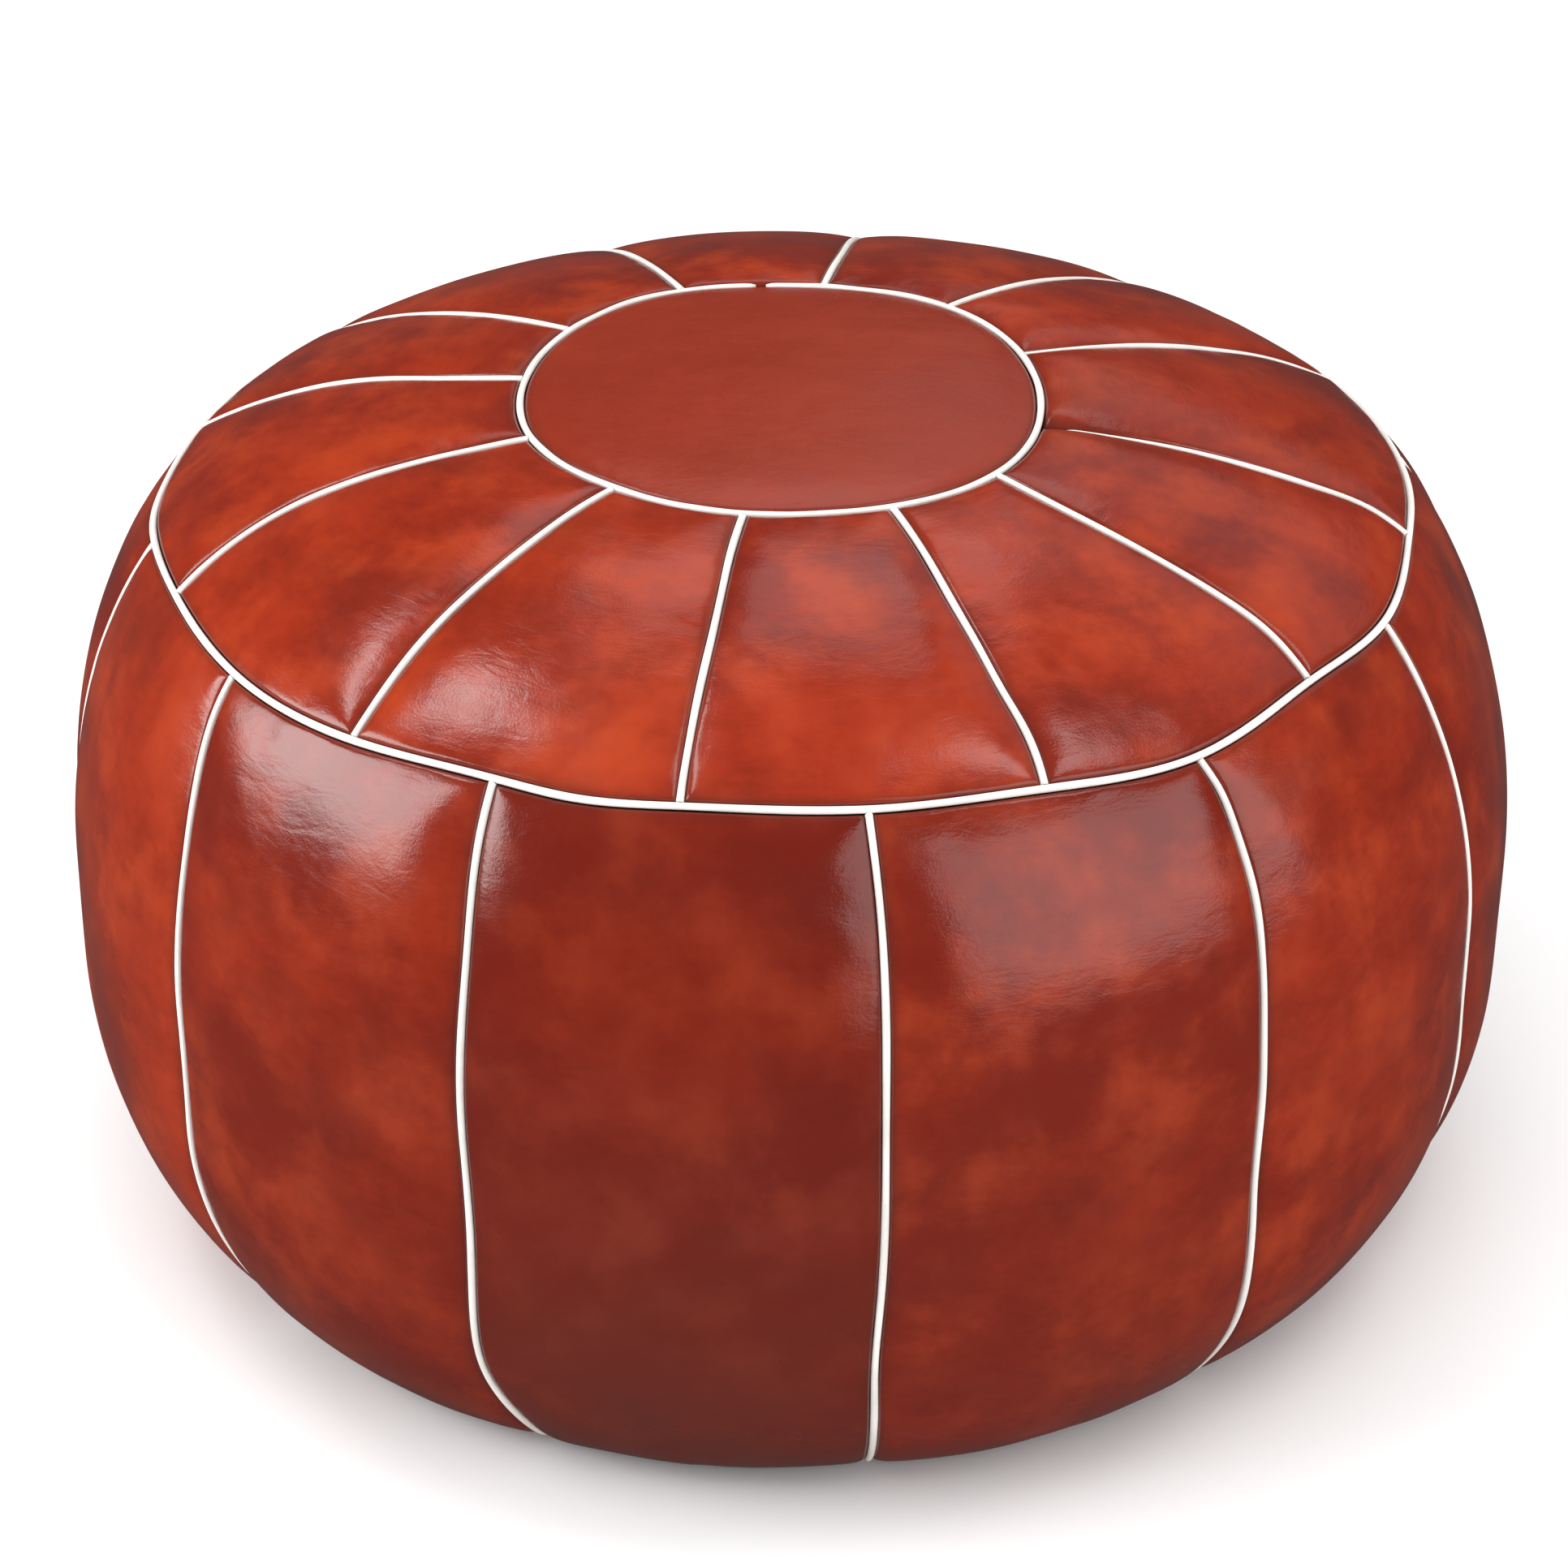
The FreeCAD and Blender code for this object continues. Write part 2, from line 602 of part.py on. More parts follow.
# ------------------------------------------------------------------- zip
for label, sgn in (("zip_tape_front", -1.0), ("zip_tape_back", 1.0)):
    y = tape_in if sgn > 0 else tape_out * -1
    t = box(label, tape_len * -1, y, tape_z, tape_len * 2, tape_out - tape_in, tape_thick)
    name_it(t, label)


def origin_plane(body, role):
    for f in body.Origin.OriginFeatures:
        if f.Role == role:
            return f


def origin_axis(body, role):
    return origin_plane(body, role)


def rect_sketch(body, name, x0, y0, x1, y1, z):
    sk = body.newObject("Sketcher::SketchObject", name)
    sk.AttachmentSupport = (origin_plane(body, "XY_Plane"), [""])
    sk.MapMode = "FlatFace"
    bind(sk, "AttachmentOffset.Base.z", z)
    draw(sk, [(x0, y0), (x1, y0), (x1, y1), (x0, y1)], ["L", "L", "L", "L"])
    return sk


def pad(body, name, sk, q):
    p = body.newObject("PartDesign::Pad", name)
    p.Profile = sk
    bind(p, "Length", q)
    p.Length = q.v
    return p


# one row of teeth: a bead along the tape's edge and the teeth standing on it
for label, sgn in (("zip_teeth_front", -1.0), ("zip_teeth_back", 1.0)):
    body = doc.addObject("PartDesign::Body", label)
    run = tooth_step * (tooth_count - 1)
    ya, yb = (bead_in, bead_out) if sgn > 0 else (bead_out * -1, bead_in * -1)
    bead = rect_sketch(body, label + "_bead", run * -0.5 - tooth_wide / 2, ya,
                       run * 0.5 + tooth_wide / 2, yb, tooth_z - bead_tall / 2)
    pad(body, label + "_bead_pad", bead, bead_tall)
    ya, yb = (tooth_in, tooth_out) if sgn > 0 else (tooth_out * -1, tooth_in * -1)
    tooth = rect_sketch(body, label + "_tooth", run * -0.5 - tooth_wide / 2, ya,
                        run * -0.5 + tooth_wide / 2, yb, tooth_z - tooth_tall / 2)
    tp = pad(body, label + "_tooth_pad", tooth, tooth_tall)
    row = body.newObject("PartDesign::LinearPattern", label + "_row")
    row.Originals = [tp]
    row.Direction = (origin_axis(body, "X_Axis"), [""])
    bind(row, "Length", run)
    bind(row, "Occurrences", tooth_count)
    row.Length = run.v
    row.Occurrences = int(tooth_count.v)
    body.Tip = row
    name_it(body, label)

# stops: two clips at the shut end, one clip across both rows at the open end
end_x = tooth_step * (tooth_count - 1) / 2 + tooth_wide / 2 + 0.4
tops = []
for sgn in (-1.0, 1.0):
    y = tooth_in if sgn > 0 else bead_out * -1
    tops.append(box("top_stop_%s" % ("b" if sgn > 0 else "a"), end_x, y, tooth_z - tooth_tall / 2,
                    Q(2.6, "2.6"), bead_out - tooth_in, tooth_tall))
stops = doc.addObject("Part::Compound", "zip_top_stops")
stops.Links = tops
name_it(stops, "zip_top_stops")
name_it(box("zip_bottom_stop", end_x * -1 - 3.2, bead_out * -1, tooth_z - tooth_tall / 2,
            Q(3.2, "3.2"), bead_out * 2, tooth_tall), "zip_bottom_stop")

# slider: two plates joined by a post between the rows, lips over the beads,
# and a loop under the lower plate for the pull tab
slider = doc.addObject("PartDesign::Body", "zip_slider")
hx, hy = plate_len / 2, plate_wide / 2


def slider_pad(name, x0, y0, x1, y1, z, tall):
    sk = rect_sketch(slider, name + "_sketch", slider_x + x0, y0, slider_x + x1, y1, z)
    return pad(slider, name, sk, tall)


slider_pad("slider_lower", hx * -1, hy * -1, hx, hy, plate_lo, plate_thick)
slider_pad("slider_post", hx - 4, Q(-0.5, "-0.5"), hx - 0.6, Q(0.5, "0.5"),
           plate_lo + plate_thick, plate_hi - plate_lo - plate_thick)
slider_pad("slider_upper", hx * -1, hy * -1, hx, hy, plate_hi, plate_thick)
for nm, ya, yb in (("front", hy * -1, hy * -1 + 0.7), ("back", hy - 0.7, hy)):
    slider_pad("slider_lip_low_" + nm, hx * -1, ya, hx, yb, plate_lo + plate_thick,
               tape_z - plate_lo - plate_thick - 0.2)
    top_lip = tape_z + tape_thick + 0.2
    slider_pad("slider_lip_high_" + nm, hx * -1, ya, hx, yb, top_lip, plate_hi - top_lip)
leg_in = loop_open / 2
leg_out = leg_in + loop_leg
for nm, xa, xb in (("a", leg_out * -1, leg_in * -1), ("b", leg_in, leg_out)):
    slider_pad("slider_leg_" + nm, xa, loop_half * -1, xb, loop_half, loop_z, plate_lo - loop_z)
slider_pad("slider_bar", leg_out * -1, loop_half * -1, leg_out, loop_half, loop_z, loop_bar)
name_it(slider, "zip_slider")

# pull tab: pin through the loop, which also rounds the ends of the two arms,
# and a flat tab with a hole
pull = doc.addObject("PartDesign::Body", "zip_pull_tab")
outer = tab_arm_in + tab_arm


def pull_pad(name, x0, y0, x1, y1):
    sk = rect_sketch(pull, name + "_sketch", slider_x + x0, y0, slider_x + x1, y1,
                     pin_z - pin_rad)
    return pad(pull, name, sk, pin_rad * 2)


pull_pad("pull_tab_flat", tab_reach * -1, outer * -1, tab_neck * -1, outer)
pull_pad("pull_arm_front", tab_neck * -1, outer * -1, ZERO, tab_arm_in * -1)
pull_pad("pull_arm_back", tab_neck * -1, tab_arm_in, ZERO, outer)
pin_sk = pull.newObject("Sketcher::SketchObject", "pull_pin_sketch")
pin_sk.AttachmentSupport = (origin_plane(pull, "XZ_Plane"), [""])
pin_sk.MapMode = "FlatFace"
bind(pin_sk, "AttachmentOffset.Base.z", outer * -1)
g = pin_sk.addGeometry(Part.Circle(V(slider_x.v, pin_z.v, 0), V(0, 0, 1), pin_rad.v))
for kind, q, nm in (("DistanceX", slider_x, "px"), ("DistanceY", pin_z, "pz")):
    ci = pin_sk.addConstraint(Sketcher.Constraint(kind, -1, 1, g, 3, q.v))
    pin_sk.renameConstraint(ci, nm)
    pin_sk.setExpression("Constraints." + nm, q.e)
ci = pin_sk.addConstraint(Sketcher.Constraint("Radius", g, pin_rad.v))
pin_sk.renameConstraint(ci, "pr")
pin_sk.setExpression("Constraints.pr", pin_rad.e)
pin = pad(pull, "pull_pin", pin_sk, outer * 2)
hole_sk = pull.newObject("Sketcher::SketchObject", "pull_hole_sketch")
hole_sk.AttachmentSupport = (origin_plane(pull, "XY_Plane"), [""])
hole_sk.MapMode = "FlatFace"
hx_q = slider_x - tab_reach + 4
g = hole_sk.addGeometry(Part.Circle(V(hx_q.v, 0, 0), V(0, 0, 1), tab_hole.v))
ci = hole_sk.addConstraint(Sketcher.Constraint("DistanceX", -1, 1, g, 3, hx_q.v))
hole_sk.renameConstraint(ci, "hx")
hole_sk.setExpression("Constraints.hx", hx_q.e)
hole_sk.addConstraint(Sketcher.Constraint("PointOnObject", g, 3, -1))
ci = hole_sk.addConstraint(Sketcher.Constraint("Radius", g, tab_hole.v))
hole_sk.renameConstraint(ci, "hr")
hole_sk.setExpression("Constraints.hr", tab_hole.e)
hole = pull.newObject("PartDesign::Pocket", "pull_hole")
hole.Profile = hole_sk
hole.Type = "ThroughAll"
hole.Midplane = True
pull.Tip = hole
name_it(pull, "zip_pull_tab")


# ------------------------------------------------------ liner and stuffing
def inside_profile(name, off):
    """Closed half profile a fixed distance inside the leather face."""
    p1 = (ring_a_rad, ring_a_z - off + 0.6)
    p2 = ring_b(off * 1.03, ZERO, 1)
    w1 = (belly_rad - off, belly_hi)
    w2 = (belly_rad - off, belly_lo)
    kx = foot_rad + (foot_curve - off) * sind(foot_angle)
    ko = knee(off)
    return free_sketch(name, [
        (ZERO, crown_top - off - 3.4), p1, p2, w1, w2, (kx, None, ko), (foot_rad, off), (ZERO, off)], [
        ("A", dome(ring_a_rad, crown_top - ring_a_z - 4.0), 1, "R"),
        ("A", wedge_rad - off, 1, "R"),
        ("A", side_arc_rad(p2, w1[0].v), 1, "2"), "L",
        ("A", (low_curve - off).v, 1, "12"), ("A", (foot_curve - off).v, 1, "2"), "L", "L"])


bag_out = turn("liner_outside", inside_profile("liner_out_profile", liner_in), 360, False)
bag_in = turn("liner_inside", inside_profile("liner_in_profile", liner_in + liner_wall), 360, False)
name_it(boolean("Cut", "inner_liner", bag_out, bag_in), "inner_liner")
name_it(turn("filling", inside_profile("filling_profile", liner_in + liner_wall + fill_gap), 360,
             False), "filling")

doc.recompute()

# ---------------------------------------------------------------- check
bad = []
for o in doc.Objects:
    st = " ".join(o.State)
    if "Invalid" in st or "Error" in st:
        bad.append("%s: %s" % (o.Name, st))
for o in PARTS:
    if o.Shape.isNull() or not o.Shape.isValid() or not o.Shape.Solids:
        bad.append("%s: bad shape" % o.Label)
if bad:
    raise RuntimeError("; ".join(bad[:12]))

os.makedirs("parts", exist_ok=True)
for o in PARTS:
    o.Shape.exportStep(os.path.join("parts", o.Label + ".step"))
    print("%-24s solids %2d  volume %12.1f  z %7.2f .. %7.2f" % (
        o.Label, len(o.Shape.Solids), o.Shape.Volume, o.Shape.BoundBox.ZMin, o.Shape.BoundBox.ZMax))
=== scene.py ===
import bpy
import math
import numpy as np
from mathutils import Matrix, Vector, noise


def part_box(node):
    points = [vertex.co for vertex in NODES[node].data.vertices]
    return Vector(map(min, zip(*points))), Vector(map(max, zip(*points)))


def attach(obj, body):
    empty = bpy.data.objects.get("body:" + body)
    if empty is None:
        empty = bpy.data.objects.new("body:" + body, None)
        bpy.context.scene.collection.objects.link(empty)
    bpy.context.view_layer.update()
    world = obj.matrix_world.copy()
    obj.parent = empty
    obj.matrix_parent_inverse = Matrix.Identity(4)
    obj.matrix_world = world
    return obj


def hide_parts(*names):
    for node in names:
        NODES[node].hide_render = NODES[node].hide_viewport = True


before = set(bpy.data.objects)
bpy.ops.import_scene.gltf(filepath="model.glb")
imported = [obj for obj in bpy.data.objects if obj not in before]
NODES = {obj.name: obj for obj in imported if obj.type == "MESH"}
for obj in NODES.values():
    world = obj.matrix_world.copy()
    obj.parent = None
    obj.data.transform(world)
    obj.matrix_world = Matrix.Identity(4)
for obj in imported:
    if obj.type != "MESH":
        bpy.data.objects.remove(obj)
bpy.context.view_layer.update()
scene = bpy.context.scene
COL = scene.collection
MM = 0.001


# ---------------------------------------------------------------- helpers
def smooth(t):
    t = np.clip(t, 0.0, 1.0)
    return t * t * (3 - 2 * t)


def spline(xs, ys, closed=None):
    """Natural cubic curve through (xs, ys); closed is the period, if it has one."""
    xs, ys = np.array(xs, float), np.array(ys, float)
    order = np.argsort(xs)
    xs, ys = xs[order], ys[order]
    if closed:
        xs = np.concatenate([xs[-3:] - closed, xs, xs[:3] + closed])
        ys = np.concatenate([ys[-3:], ys, ys[:3]])
    n = len(xs)
    h = np.diff(xs)
    a = np.zeros((n, n))
    b = np.zeros(n)
    a[0, 0] = a[-1, -1] = 1.0
    for i in range(1, n - 1):
        a[i, i - 1], a[i, i], a[i, i + 1] = h[i - 1], 2 * (h[i - 1] + h[i]), h[i]
        b[i] = 6 * ((ys[i + 1] - ys[i]) / h[i] - (ys[i] - ys[i - 1]) / h[i - 1])
    m = np.linalg.solve(a, b)

    def at(x):
        x = np.asarray(x, float)
        if closed:
            x = (x - xs[3]) % closed + xs[3]
        x = np.clip(x, xs[0], xs[-1])
        i = np.clip(np.searchsorted(xs, x, side="right") - 1, 0, n - 2)
        t0, t1, hh = xs[i + 1] - x, x - xs[i], h[i]
        return ((m[i] * t0 ** 3 + m[i + 1] * t1 ** 3) / (6 * hh)
                + (ys[i] / hh - m[i] * hh / 6) * t0 + (ys[i + 1] / hh - m[i + 1] * hh / 6) * t1)
    return at


def mesh_object(name, co, faces):
    me = bpy.data.meshes.new(name)
    me.from_pydata([tuple(c) for c in co], [], [tuple(f) for f in faces])
    me.validate()
    me.update()
    ob = bpy.data.objects.new(name, me)
    COL.objects.link(ob)
    return ob


def shade_smooth(ob):
    ob.data.polygons.foreach_set("use_smooth", [True] * len(ob.data.polygons))


def put_attribute(me, name, values, kind="FLOAT"):
    at = me.attributes.new(name, kind, "POINT")
    arr = np.asarray(values, np.float32)
    at.data.foreach_set("vector" if kind == "FLOAT_VECTOR" else "value", arr.reshape(-1))


def bake(ob):
    """Turn an object's modifiers into plain mesh."""
    deps = bpy.context.evaluated_depsgraph_get()
    me = bpy.data.meshes.new_from_object(ob.evaluated_get(deps), preserve_all_data_layers=True,
                                         depsgraph=deps)
    old = ob.data
    ob.modifiers.clear()
    ob.data = me
    me.name = ob.name
    bpy.data.meshes.remove(old)
    shade_smooth(ob)
    return ob


def grid_faces(nu, nv, base=0, flip=False, wrap=False):
    """Quads of a grid whose points run along u inside v."""
    out = []
    for j in range(nv - 1):
        for i in range(nu if wrap else nu - 1):
            a = base + j * nu + i
            b = base + j * nu + (i + 1) % nu
            q = (a, b, b + nu, a + nu)
            out.append(q[::-1] if flip else q)
    return out


def bumps(co, scale, seed, amount):
    """Smooth random heights at points."""
    off = Vector((seed * 7.31, seed * 3.17, seed * 5.73))
    return np.array([noise.noise(Vector(c) * scale + off) for c in co]) * amount


# ------------------------------------------------------- shape of the pouf
def ring_of(node, bar):
    lo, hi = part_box(node)
    return (hi.x - lo.x) / 2 - bar, (hi.z + lo.z) / 2


RA, ZA = ring_of("inner_ring_cord", 1.1 * MM)
_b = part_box("outer_ring_cord")
RB = (_b[1].x - _b[0].x) / 2 - 1.1 * MM
ZB = (_b[1].z + _b[0].z) / 2
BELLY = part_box("side_panel_01")[1].x
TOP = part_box("top_medallion")[1].z
BASE = 205.0 * MM
HI, LO = 158.0 * MM, 112.0 * MM
FOOT, FOOT_C, FOOT_A, LOW_C = 214.0 * MM, 32.65 * MM, math.radians(50.68), 157.87 * MM
WEDGE = 300.0 * MM

_dx, _dz = RB - RA, ZB - ZA
_l = math.hypot(_dx, _dz)
_run = math.sqrt(WEDGE ** 2 - _l * _l / 4)
CX = (RA + RB) / 2 + _dz / _l * _run
CZ = (ZA + ZB) / 2 - _dx / _l * _run
A0, A1 = math.atan2(ZA - CZ, RA - CX), math.atan2(ZB - CZ, RB - CX)
L1 = WEDGE * (A0 - A1)


def top_line(s):
    """Radius, height and outward normal a distance s down from the small ring."""
    a = A0 - np.asarray(s, float) / WEDGE
    return CX + WEDGE * np.cos(a), CZ + WEDGE * np.sin(a), np.cos(a), np.sin(a)


def _side_points():
    run = ((BELLY - RB) ** 2 + (ZB - HI) ** 2) / (2 * (BELLY - RB))
    cx = BELLY - run
    pts = []
    a_top = math.atan2(ZB - HI, RB - cx)
    for a in np.linspace(a_top, 0, 160):
        pts.append((cx + run * math.cos(a), HI + run * math.sin(a)))
    for z in np.linspace(HI, LO, 24)[1:]:
        pts.append((BELLY, z))
    for a in np.linspace(0, math.pi / 2 - FOOT_A, 90)[1:]:
        pts.append((BELLY - LOW_C + LOW_C * math.cos(a), LO - LOW_C * math.sin(a)))
    k = pts[-1]
    for a in np.linspace(FOOT_A, 0, 60)[1:]:
        pts.append((FOOT + FOOT_C * math.sin(a), FOOT_C - FOOT_C * math.cos(a)))
    for r in np.linspace(FOOT, BASE, 8)[1:]:
        pts.append((r, 0.0))
    return np.array(pts)


SP = _side_points()
SS = np.concatenate([[0], np.cumsum(np.hypot(*np.diff(SP, axis=0).T))])
L2 = SS[-1]


def side_line(s):
    """The same down the side, from the large ring to the base seam."""
    s = np.clip(np.asarray(s, float), 0, L2)
    r, z = np.interp(s, SS, SP[:, 0]), np.interp(s, SS, SP[:, 1])
    e = 1.5 * MM
    r1, r0 = np.interp(s + e, SS, SP[:, 0]), np.interp(s - e, SS, SP[:, 0])
    z1, z0 = np.interp(s + e, SS, SP[:, 1]), np.interp(s - e, SS, SP[:, 1])
    tr, tz = r1 - r0, z1 - z0
    ln = np.hypot(tr, tz)
    return r, z, -tz / ln, tr / ln


# hand-sewn wander of each seam: degrees at distances (mm) from the ring above
SPOKES = {
    0: ((1, 27, 47, 67, 86, 107, 127, 146), (-6.6, -5.7, -4.7, -3.7, -2.6, -1.2, -0.6, -1.8)),
    1: ((0, 51, 68, 86, 107, 146), (30.1, 30.5, 31.1, 31.9, 33.0, 33.2)),
    2: ((0, 50, 100, 146), (59.7, 59.2, 59.4, 60.0)),
    3: ((0, 50, 100, 146), (90.4, 90.1, 90.6, 90.2)),
    4: ((0, 50, 100, 146), (122.2, 121.4, 120.3, 120.0)),
    5: ((0, 50, 100, 146), (154.1, 153.2, 151.6, 150.6)),
    6: ((0, 11, 32, 55, 79, 103, 126, 146), (181.0, 180.8, 179.6, 177.2, 175.4, 174.5, 174.3, 174.6)),
    7: ((0, 13, 34, 55, 77, 98, 119, 146), (210.7, 210.1, 208.5, 207.1, 206.1, 205.9, 206.8, 209.0)),
    8: ((0, 13, 36, 59, 81, 101, 122, 146), (240.9, 240.2, 239.8, 239.5, 239.2, 239.2, 239.5, 240.0)),
    9: ((0, 18, 43, 65, 86, 105, 146), (270.3, 270.1, 270.2, 270.3, 270.2, 270.1, 270.2)),
    10: ((0, 18, 43, 65, 86, 106, 124, 146), (300.6, 300.4, 300.1, 300.0, 300.2, 300.4, 300.8, 300.4)),
    11: ((0, 16, 39, 60, 80, 100, 120, 146), (326.5, 326.2, 326.7, 327.8, 329.0, 330.0, 330.6, 329.6)),
}
SIDES = {
    0: ((0, 60, 150, 240, 325), (15.6, 15.2, 14.8, 15.2, 15.0)),
    1: ((0, 60, 150, 240, 325), (44.6, 44.9, 45.4, 45.0, 44.7)),
    2: ((0, 60, 150, 240, 325), (75.3, 75.1, 74.7, 75.0, 75.2)),
    3: ((0, 60, 150, 240, 325), (104.8, 104.6, 105.1, 105.3, 105.0)),
    4: ((0, 60, 150, 240, 325), (135.2, 135.4, 135.0, 134.8, 135.1)),
    5: ((0, 60, 150, 240, 325), (164.8, 165.1, 165.4, 165.1, 164.9)),
    6: ((0, 30, 90, 180, 325), (197.4, 196.3, 195.5, 195.2, 195.0)),
    7: ((0, 11, 29, 46, 64, 101, 163, 207, 325), (224.0, 223.8, 224.1, 224.7, 225.3, 225.9, 226.0, 225.8, 225.2)),
    8: ((0, 22, 55, 108, 189, 243, 270, 325), (254.2, 254.1, 254.5, 254.7, 255.0, 254.6, 255.6, 257.2)),
    9: ((0, 20, 69, 123, 163, 207, 279, 325), (285.5, 285.8, 286.0, 285.8, 285.7, 285.2, 285.7, 285.6)),
    10: ((0, 13, 31, 49, 103, 141, 184, 237, 325), (314.6, 315.6, 316.2, 316.6, 316.1, 315.9, 315.7, 316.9, 318.2)),
    11: ((0, 30, 90, 180, 325), (343.1, 344.0, 344.9, 345.2, 345.4)),
}
SPOKE = {k: spline([x * MM for x in v[0]], np.radians(v[1])) for k, v in SPOKES.items()}
SIDE = {k: spline([x * MM for x in v[0]], np.radians(v[1])) for k, v in SIDES.items()}
RING_A = spline([-172.8, -148.6, -118.9, -85.7, -75.9, -59.3, -32.9, -1.7, 29.8, 59.6, 90.7, 105.9,
                 123.3, 155.1],
                [0.2, 1.6, 0.8, 1.7, 1.6, 2.9, 3.2, -3.0, -3.6, 0.5, -0.8, 0.0, 3.8, 2.2], 360.0)
RING_B = spline([-175.4, -169.4, -162.6, -150.8, -134.5, -119.7, -105.9, -98.5, -89.7, -74.4, -59.8,
                 -45.7, -30.4, -16.9, -2.2, 7.8, 25.5, 45.0, 75.0, 105.0, 135.0, 165.0],
                [1.0, 3.0, 1.6, -0.8, 1.8, 1.0, -1.2, 0.2, -1.2, -0.3, 0.6,
                 4.6, -0.9, 1.4, -3.4, -2.2, 0.0, 1.3, -0.8, 1.0, 0.9, -0.6], 360.0)
TILT = math.radians(44.0)   # slope of the shell at the large ring
NB = np.array([math.sin(TILT), math.cos(TILT)])
DB = np.array([math.cos(TILT), -math.sin(TILT)])


def polar(r, z, phi):
    return np.stack([r * np.cos(phi), r * np.sin(phi), z * np.ones_like(r * phi)], -1)


def shift_a(phi):
    return RING_A(np.degrees(phi)) * MM


def shift_b(phi):
    return RING_B(np.degrees(phi)) * MM


SUNK = 0.8 * MM      # the piping's middle lies this far under the seam line
PIPE = 1.34 * MM


def top_base(s, phi, off):
    """Point of the top, off above the seam line, with the wander of both rings."""
    s, phi, off = np.broadcast_arrays(np.asarray(s, float), phi, off)
    r, z, nr, nz = top_line(s)
    wb = smooth(1 - (L1 - s) / (14 * MM))
    nr, nz = nr * (1 - wb) + NB[0] * wb, nz * (1 - wb) + NB[1] * wb
    ln = np.hypot(nr, nz)
    nr, nz = nr / ln, nz / ln
    wa = 1 - smooth(s / (62 * MM))
    wr = smooth(1 - (L1 - s) / (48 * MM))
    da, db = shift_a(phi) * wa, shift_b(phi) * wr
    return polar(r + nr * off + da + db * DB[0], z + nz * off - da * 0.06 + db * DB[1], phi)


def side_base(s, phi, off):
    s, phi, off = np.broadcast_arrays(np.asarray(s, float), phi, off)
    r, z, nr, nz = side_line(s)
    wb = smooth(1 - s / (14 * MM))
    nr, nz = nr * (1 - wb) + NB[0] * wb, nz * (1 - wb) + NB[1] * wb
    ln = np.hypot(nr, nz)
    nr, nz = nr / ln, nz / ln
    db = shift_b(phi) * smooth(1 - s / (48 * MM))
    return polar(r + nr * off + db * DB[0], z + nz * off + db * DB[1], phi)


def side_sunk(s):
    """How far the piping's middle lies under the side's line; more at the floor."""
    z = side_line(s)[1]
    return SUNK + (1.8 * MM - SUNK) * smooth(1 - (z - 2 * MM) / (14 * MM))


def spoke_size(k, s):
    """Radius of the piping in a top seam; two are half lost near the small ring."""
    r = PIPE * (1 + 0.05 * np.sin(s * 90 + k * 2.1))
    if k in (0, 1):
        lost, reach = (0.74, 80 * MM) if k == 0 else (0.46, 52 * MM)
        r = r * (1 - lost * (1 - smooth(s / reach)))
    return r


def spoke_deep(k, s):
    """Extra depth of that piping where it is half lost."""
    if k in (0, 1):
        lost, reach = (1.55, 74 * MM) if k == 0 else (0.8, 46 * MM)
        sink = lost * MM * (1 - smooth(s / reach))
        return sink + (1.6 * MM * (1 - smooth((s - 5 * MM) / (9 * MM))) if k == 0 else 0)
    return np.zeros_like(np.asarray(s, float))


# cross-section of a panel beside a seam: distance from the seam's middle, and
# height over the piping's middle
EDGE = np.array([(0.75, -6.4), (0.8, -3.4), (1.15, -1.5), (1.9, 0.05), (2.5, 0.75), (3.5, 1.2),
                 (5.4, 1.5)]) * MM
FLOOR_EDGE = np.array([(0.25, -6.4), (0.28, -3.2), (0.45, -1.2), (0.95, -0.35), (1.9, -0.06),
                       (3.4, 0.0), (6.0, 0.0)]) * MM


def rows(length, first, last, step):
    """Distances along a panel, with the turned-in rows at both ends."""
    a, b = first[:, 0], last[:, 0]
    n = max(int(round((length - a[-1] - b[-1]) / step)), 6)
    mid = np.linspace(a[-1], length - b[-1], n + 1)[1:-1]
    s = np.concatenate([a, mid, (length - b)[::-1]])
    h = np.concatenate([first[:, 1], np.full(len(mid), np.inf), last[::-1, 1]])
    return s, h


